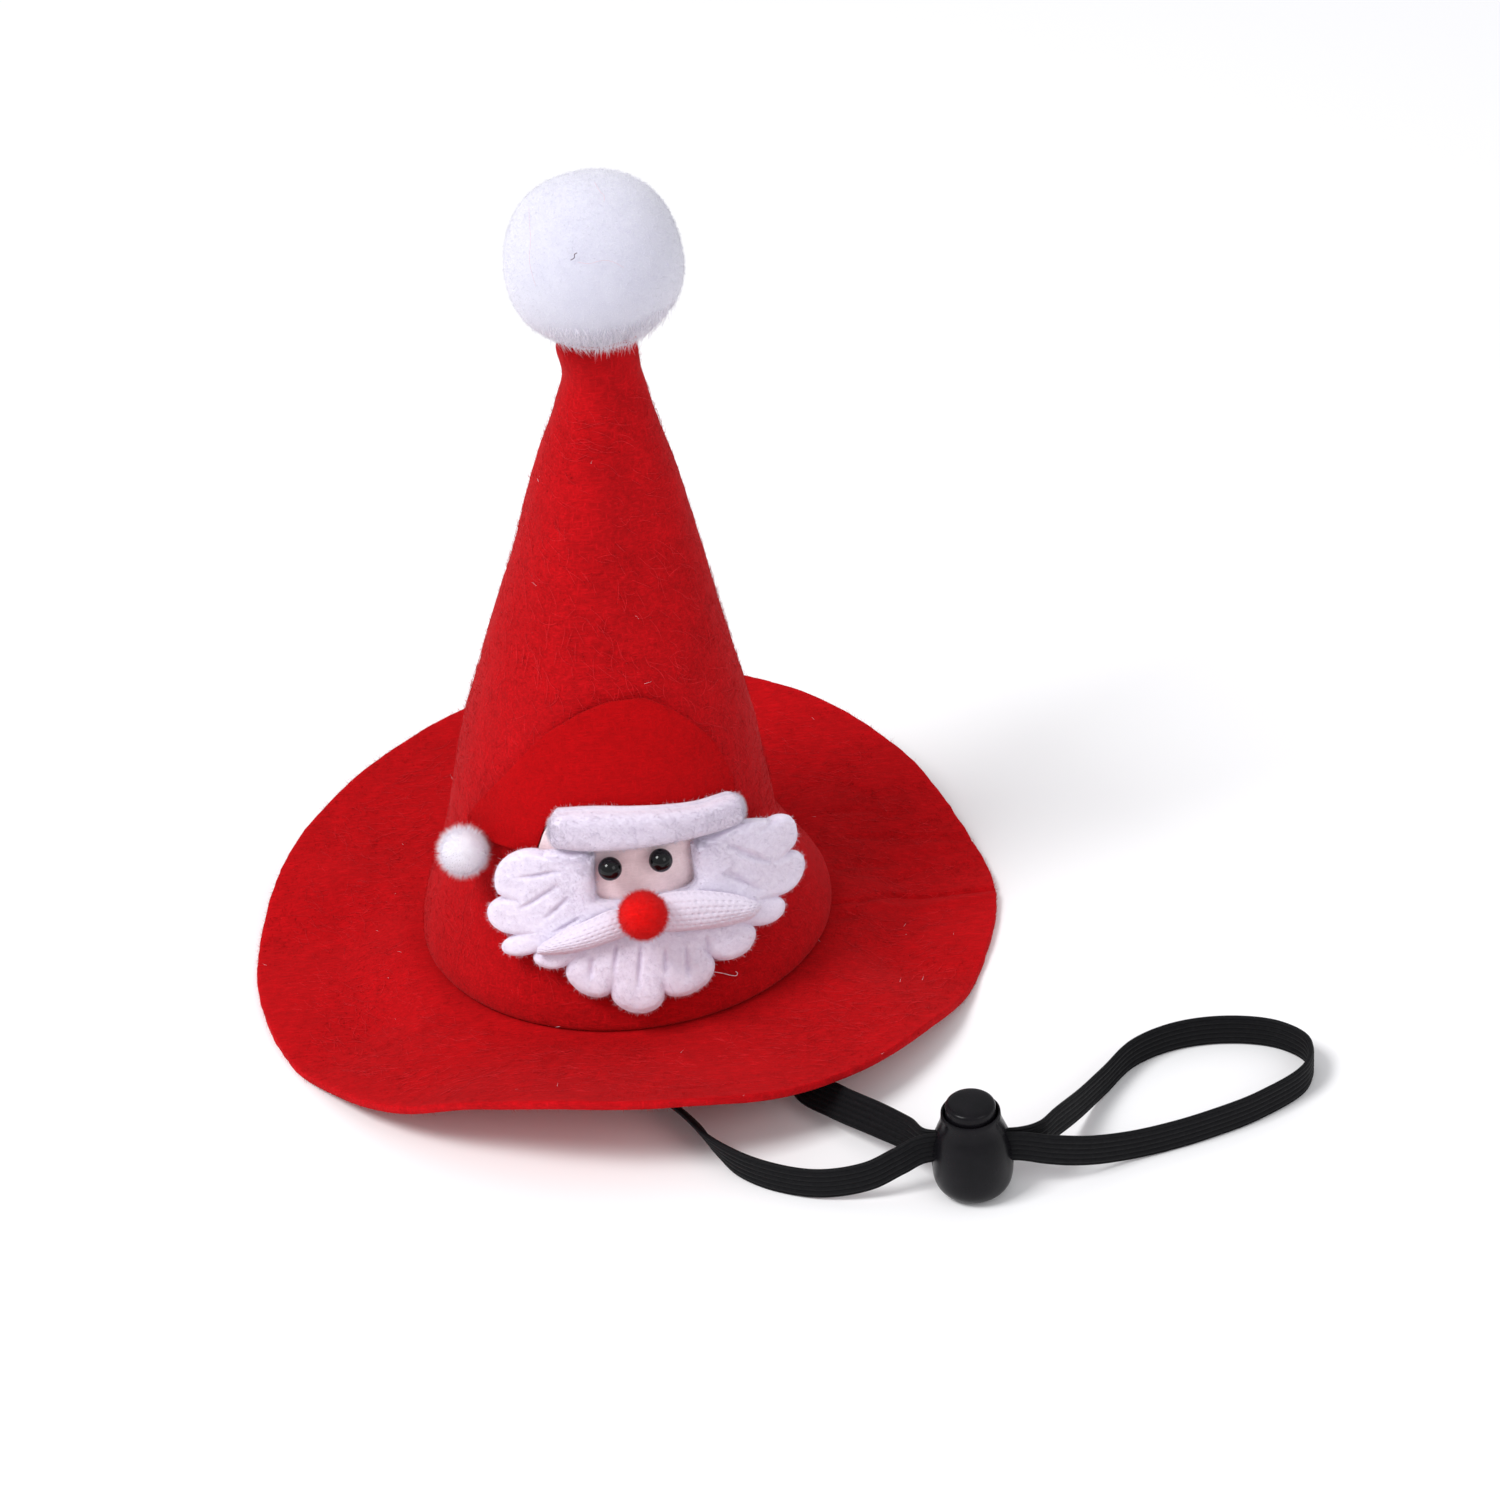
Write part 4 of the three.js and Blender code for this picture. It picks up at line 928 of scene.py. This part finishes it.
# Beard
def fleece_beard():
    """Scalloped horseshoe round the face window: bearings round the face, share from the window out to the
    locks' edge, a flat-topped pile with rounded rims, pressed in along the lines and at the notches."""
    line_deep, line_wide, notch_deep, notch_wide = 0.66, 0.42, 0.38, 0.9
    full_shade_depth, thinnest, end_reach, squareness = 0.75, 0.35, 6, 9
    start = BEARD_LOCKS[:, 0]
    bearing = np.linspace(start[0], start[-1], 520)
    i = np.clip(np.searchsorted(start, bearing, side="right") - 1, 0, len(start) - 2)
    s = np.clip((bearing - start[i]) / (start[i + 1] - start[i]), 0, 1)
    notch, reach, after = BEARD_LOCKS[i, 1], BEARD_LOCKS[i, 2], BEARD_LOCKS[i + 1, 1]
    edge = notch + (after - notch) * s + (reach - (notch + after) / 2) * np.sqrt(np.sin(np.pi * s).clip(0))
    right, rise = np.cos(np.radians(bearing)), np.sin(np.radians(bearing))
    wide = np.abs(right)
    low = ((wide / WINDOW_HALF) ** 4 + (np.minimum(rise, 0) / WINDOW_DROP) ** 4) ** -0.25
    window = np.where(rise > 0, WINDOW_HALF / np.maximum(wide, 0.2), low)
    share, swell, deep = felt_section(44, 12, 0.35)
    r = window[:, None] + (edge - window)[:, None] * share[None] + swell[None]
    flat = np.stack([r * right[:, None], r * rise[:, None]], -1)
    turn = FACE_TURN + flat[..., 0] / MM_PER_TURN
    height = FACE_HEIGHT + flat[..., 1]
    end = np.clip(np.minimum(bearing - start[0], start[-1] - bearing) / end_reach, 0, 1)[:, None]
    round_up = np.sqrt(np.maximum(0, 1 - np.abs(2 * share[None] - 1) ** squareness))
    depth = BEARD_THICK * (0.5 + 0.5 * round_up * np.sqrt(end))
    along, off_line = from_lines(flat, BEARD_LINES)
    taper = np.sqrt(np.sin(np.pi * (0.06 + 0.88 * along)))
    groove_depth_and_shade = (line_deep * taper * np.exp(-(off_line / line_wide) ** 2)).max(-1)
    off_notch = np.abs(bearing[:, None] - start[None, 1:-1]).min(1)[:, None] * np.radians(1) * r
    outer = np.clip((share[None] - 0.72) / 0.2, 0, 1)
    groove_depth_and_shade = groove_depth_and_shade + notch_deep * np.exp(-(off_notch / notch_wide) ** 2) * outer
    base = BEARD_UNDER + standoff(turn)
    pile = wool(front(turn, height, base), (0.12, 2.6, 15), (0.05, 0.7, 16))
    loops = front(turn, height, base + deep[None] * np.maximum(depth - groove_depth_and_shade + pile, thinnest))
    piece = wrapped("fleece_beard", loops, FLEECE, "beard")
    # Painted shade: the groove depth, up to the depth of full shade, darkens the fleece in the pressed
    # lines and notches.
    mark_points(piece, "groove_depth_and_shade", np.clip(groove_depth_and_shade / full_shade_depth, 0, 1))
    return piece


beard = fleece_beard()


# Eyes
def bead_eye(name, centre, node):
    """Round bead with the shallow dimple of its drilled hole on top."""
    pole, dimple_deep, dimple_wide = 0.02, 0.10, 0.16
    u = np.linspace(pole, math.pi - pole, 40)[:, None]
    v = np.linspace(0, 2 * math.pi, 56, endpoint=False)[None]
    r = EYE_RADIUS * (1 - dimple_deep * np.exp(-(u / dimple_wide) ** 2))
    wrapped(name, centre + polar(r * np.sin(u), v, r * np.cos(u)), BEAD, node)


bead_eye("bead_eye_left", front(*EYE_LEFT_AT, EYE_OUT), "eye_left")
bead_eye("bead_eye_right", front(*EYE_RIGHT_AT, EYE_OUT), "eye_right")


# Loose hairs of the felt and fleece
def crown_places(rng, count, low, span):
    """Bearings and heights spread over the crown, as many to each height as its girth holds."""
    tries = rng.uniform(0, 1, (count * 3, 3))
    height = low + tries[:, 0] * span
    keep = tries[:, 2] < crown_half(height) / FOOT_HALF
    return tries[keep, 1][:count] * 360, height[keep][:count]


def crown_nap(name, hairs, seed, material):
    """Hairs spread evenly by area over the crown, brushed upwards in slow swirls."""
    low, span, sway, swirl_size = 0.6, 136.5, 1.2, 16.0
    bearing, height = crown_places(np.random.default_rng(seed), hairs, low, span)
    root, normal = crown_skin(bearing, height), crown_normal(bearing, height)
    swirl = sway * lumps(root, swirl_size, 42)[:, None]
    round_way = unit(np.cross(UP, normal))
    brush = unit(np.cross(normal, round_way)) * np.cos(swirl) + round_way * np.sin(swirl)
    nap(name, root, normal, brush, (0.8, 2.0), (4, 40), 0.035, material, seed + 2)


def brim_nap(name, hairs, seed, material):
    """Hairs spread evenly by area over the brim's upper face, and some round its cut edge."""
    rng = np.random.default_rng(seed)
    edge_hairs, sway, swirl_size = 0.18, 1.4, 18.0
    bearing = rng.uniform(-180, 180, hairs)
    a = np.radians(bearing)
    _, seat, edge = brim_radii(bearing)
    on_edge = rng.random(hairs) < edge_hairs
    r = np.sqrt(seat**2 + (edge**2 - seat**2) * rng.uniform(0, 1, hairs))
    r = np.where(on_edge, edge + 0.1, r)
    share = np.minimum((r - seat) / (edge - seat), 1)
    z = brim_top(bearing, share) - np.where(on_edge, rng.uniform(0.2, FELT - 0.4, hairs), 0)
    root = polar(r, a, z)
    outward, round_way = polar(1.0, a, 0.0), np.stack([-np.sin(a), np.cos(a), 0 * a], -1)
    on_edge = on_edge[:, None]
    swirl = sway * lumps(root, swirl_size, 52)[:, None]
    brush = round_way * np.cos(swirl) + np.where(on_edge, UP, outward) * np.sin(swirl)
    normal = np.where(on_edge, outward, UP)
    nap(name, root, normal, brush, (0.7, 1.7), (4, 35), 0.035, material, seed + 2)


def mesh_nap(name, thing, hairs, length, rise, width, material, seed):
    """Hairs rooted on the corners of a finished piece, leaning by a slow swirl from its own normals."""
    rng = np.random.default_rng(seed)
    points = thing.data.vertices
    co, no = np.empty(len(points) * 3), np.empty(len(points) * 3)
    points.foreach_get("co", co)
    points.foreach_get("normal", no)
    co, no = co.reshape(-1, 3) / MM, no.reshape(-1, 3)
    facing, turned_away, scatter, swirl_size = np.array([0.0, -0.95, 0.3]), -0.25, 0.12, 3.0
    outer = np.nonzero(no @ facing > turned_away)[0]
    pick = rng.choice(outer, hairs)
    jitter = rng.normal(0, scatter, (hairs, 3))
    root, normal = co[pick], no[pick]
    root = root + jitter - normal * (jitter * normal).sum(1, keepdims=True)
    other = unit(np.stack([lumps(root, swirl_size, seed + k) for k in (2, 3, 4)], -1))
    nap(name, root, normal, unit(np.cross(normal, other)), length, rise, width, material, seed + 5)


def curled(rng, way, length, bend, steps=7):
    """Flat plans of loose fibres about their middles: each runs its own way and turns steadily."""
    count = len(way)
    heading = way[:, None] + rng.normal(0, bend, count)[:, None] * np.linspace(-0.5, 0.5, steps)[None]
    step = rng.uniform(*length, count)[:, None] / steps
    x, y = np.cumsum(np.cos(heading) * step, 1), np.cumsum(np.sin(heading) * step, 1)
    return x - x.mean(1, keepdims=True), y - y.mean(1, keepdims=True)


def lying_fibres(name, line, normal, radius):
    """Closed three-sided fibres along rows of points, thickest at their middles and thin at both ends."""
    count, steps = line.shape[:2]
    blunt = 0.04
    ring = ring_round(unit(np.gradient(line, axis=1)), normal, np.radians([90, 210, 330]))
    thick = radius * np.sqrt(np.sin(np.pi * np.linspace(blunt, 1 - blunt, steps)))[None, :, None, None]
    points = line[:, :, None] + thick * ring
    j, k = np.meshgrid(3 * np.arange(steps - 1), np.arange(3), indexing="ij")
    p, q = (j + k).ravel(), (j + (k + 1) % 3).ravel()
    last = 3 * steps - 3
    walls = np.concatenate([np.stack([p, q, q + 3], -1), np.stack([p, q + 3, p + 3], -1),
                            [[0, 2, 1], [last, last + 1, last + 2]]])
    faces = (walls[None] + 3 * steps * np.arange(count)[:, None, None]).reshape(-1, 3)
    put_mesh(name, points.reshape(-1, 3), faces, RED_FIBRE)


def crown_fibres(count=2000, seed=91):
    """Long loose fibres lying on the crown, bent to its skin, along a slow swirl."""
    rng = np.random.default_rng(seed)
    low, span, sway, swirl_size, lean, strayed = 6, 124, 1.1, 26.0, -0.6, 0.5
    length, bend, lift, radius = (2.5, 7.0), 0.9, 0.16, 0.042
    bearing, high = crown_places(rng, count, low, span)
    swirl = sway * lumps(crown_skin(bearing, high), swirl_size, 43) + lean
    x, y = curled(rng, swirl + rng.normal(0, strayed, len(high)), length, bend)
    height = high[:, None] + y
    bearing = bearing[:, None] + np.degrees(x / crown_half(height))
    lying_fibres("crown_fibres", crown_skin(bearing, height, lift), crown_normal(bearing, height), radius)


def brim_fibres(count=1800, seed=95):
    """Long loose fibres lying flat on the brim's upper face, clear of its seat and its edge."""
    rng = np.random.default_rng(seed)
    inner, outer, sway, swirl_size, strayed = 47.0, 71.0, 0.9, 30.0, 0.45
    length, bend, lift, radius = (2.0, 6.0), 0.8, 0.14, 0.036
    a = rng.uniform(-np.pi, np.pi, count)
    middle = polar(np.sqrt(rng.uniform(inner**2, outer**2, count)), a, 0.0)
    swirl = sway * lumps(middle, swirl_size, 44)
    x, y = curled(rng, swirl + rng.normal(0, strayed, count), length, bend)
    x, y = middle[:, :1] + x, middle[:, 1:2] + y
    bearing = np.degrees(np.arctan2(y, x))
    _, seat, edge = brim_radii(bearing)
    share = (np.hypot(x, y) - seat) / (edge - seat)
    line = np.stack([x, y, brim_top(bearing, share.clip(0, 1)) + lift], -1)
    lying_fibres("brim_fibres", line, np.broadcast_to(UP, line.shape), radius)


crown_nap("crown_nap", 20000, 41, RED_NAP)
brim_nap("brim_nap", 20000, 51, RED_NAP)
crown_nap("crown_lint", 30, 141, TIP_YARN)
brim_nap("brim_lint", 30, 151, TIP_YARN)
mesh_nap("beard_nap", beard, 16000, (0.5, 1.2), (25, 75), 0.03, FLEECE, 61)
mesh_nap("band_nap", band, 8000, (0.4, 1.1), (25, 75), 0.028, BAND_FLEECE, 71)
crown_fibres()
brim_fibres()
mesh_nap("cap_nap", cap, 4000, (0.4, 1.0), (3, 30), 0.03, RED_NAP, 81)


# Studio
def studio():
    """Pale floor, a broad key light from the upper left, a weak one from the right and an even sky."""
    half = 4.0
    floor_mesh = bpy.data.meshes.new("floor")
    corners = [(-half, -half, 0), (half, -half, 0), (half, half, 0), (-half, half, 0)]
    floor_mesh.from_pydata(corners, [], [(0, 1, 2, 3)])
    material, _, shader = blank("pale_floor")
    put_values(shader, {"Base Color": (0.93, 0.93, 0.94, 1), "Roughness": 0.9, "Specular IOR Level": 0.1})
    floor_mesh.materials.append(material)
    placed("floor", floor_mesh)
    aim = Vector((0, 0, 0.06))
    for name, spot, size, power in (("key", Vector((-1.02, -0.49, 1.62)), 0.66, 25.6),
                                    ("fill", Vector((0.72, -0.76, 0.72)), 0.6, 2.0)):
        lamp = bpy.data.lights.new(name, "AREA")
        lamp.size = size
        lamp.energy = power
        thing = placed(name, lamp)
        thing.location = spot
        thing.rotation_euler = (aim - spot).to_track_quat("-Z", "Y").to_euler()
    world = bpy.context.scene.world or bpy.data.worlds.new("world")
    bpy.context.scene.world = world
    world.use_nodes = True
    put_values(world.node_tree.nodes["Background"], {"Color": (0.98, 0.98, 1.0, 1), "Strength": 0.66})
    bpy.context.scene.view_settings.view_transform = "Standard"


studio()
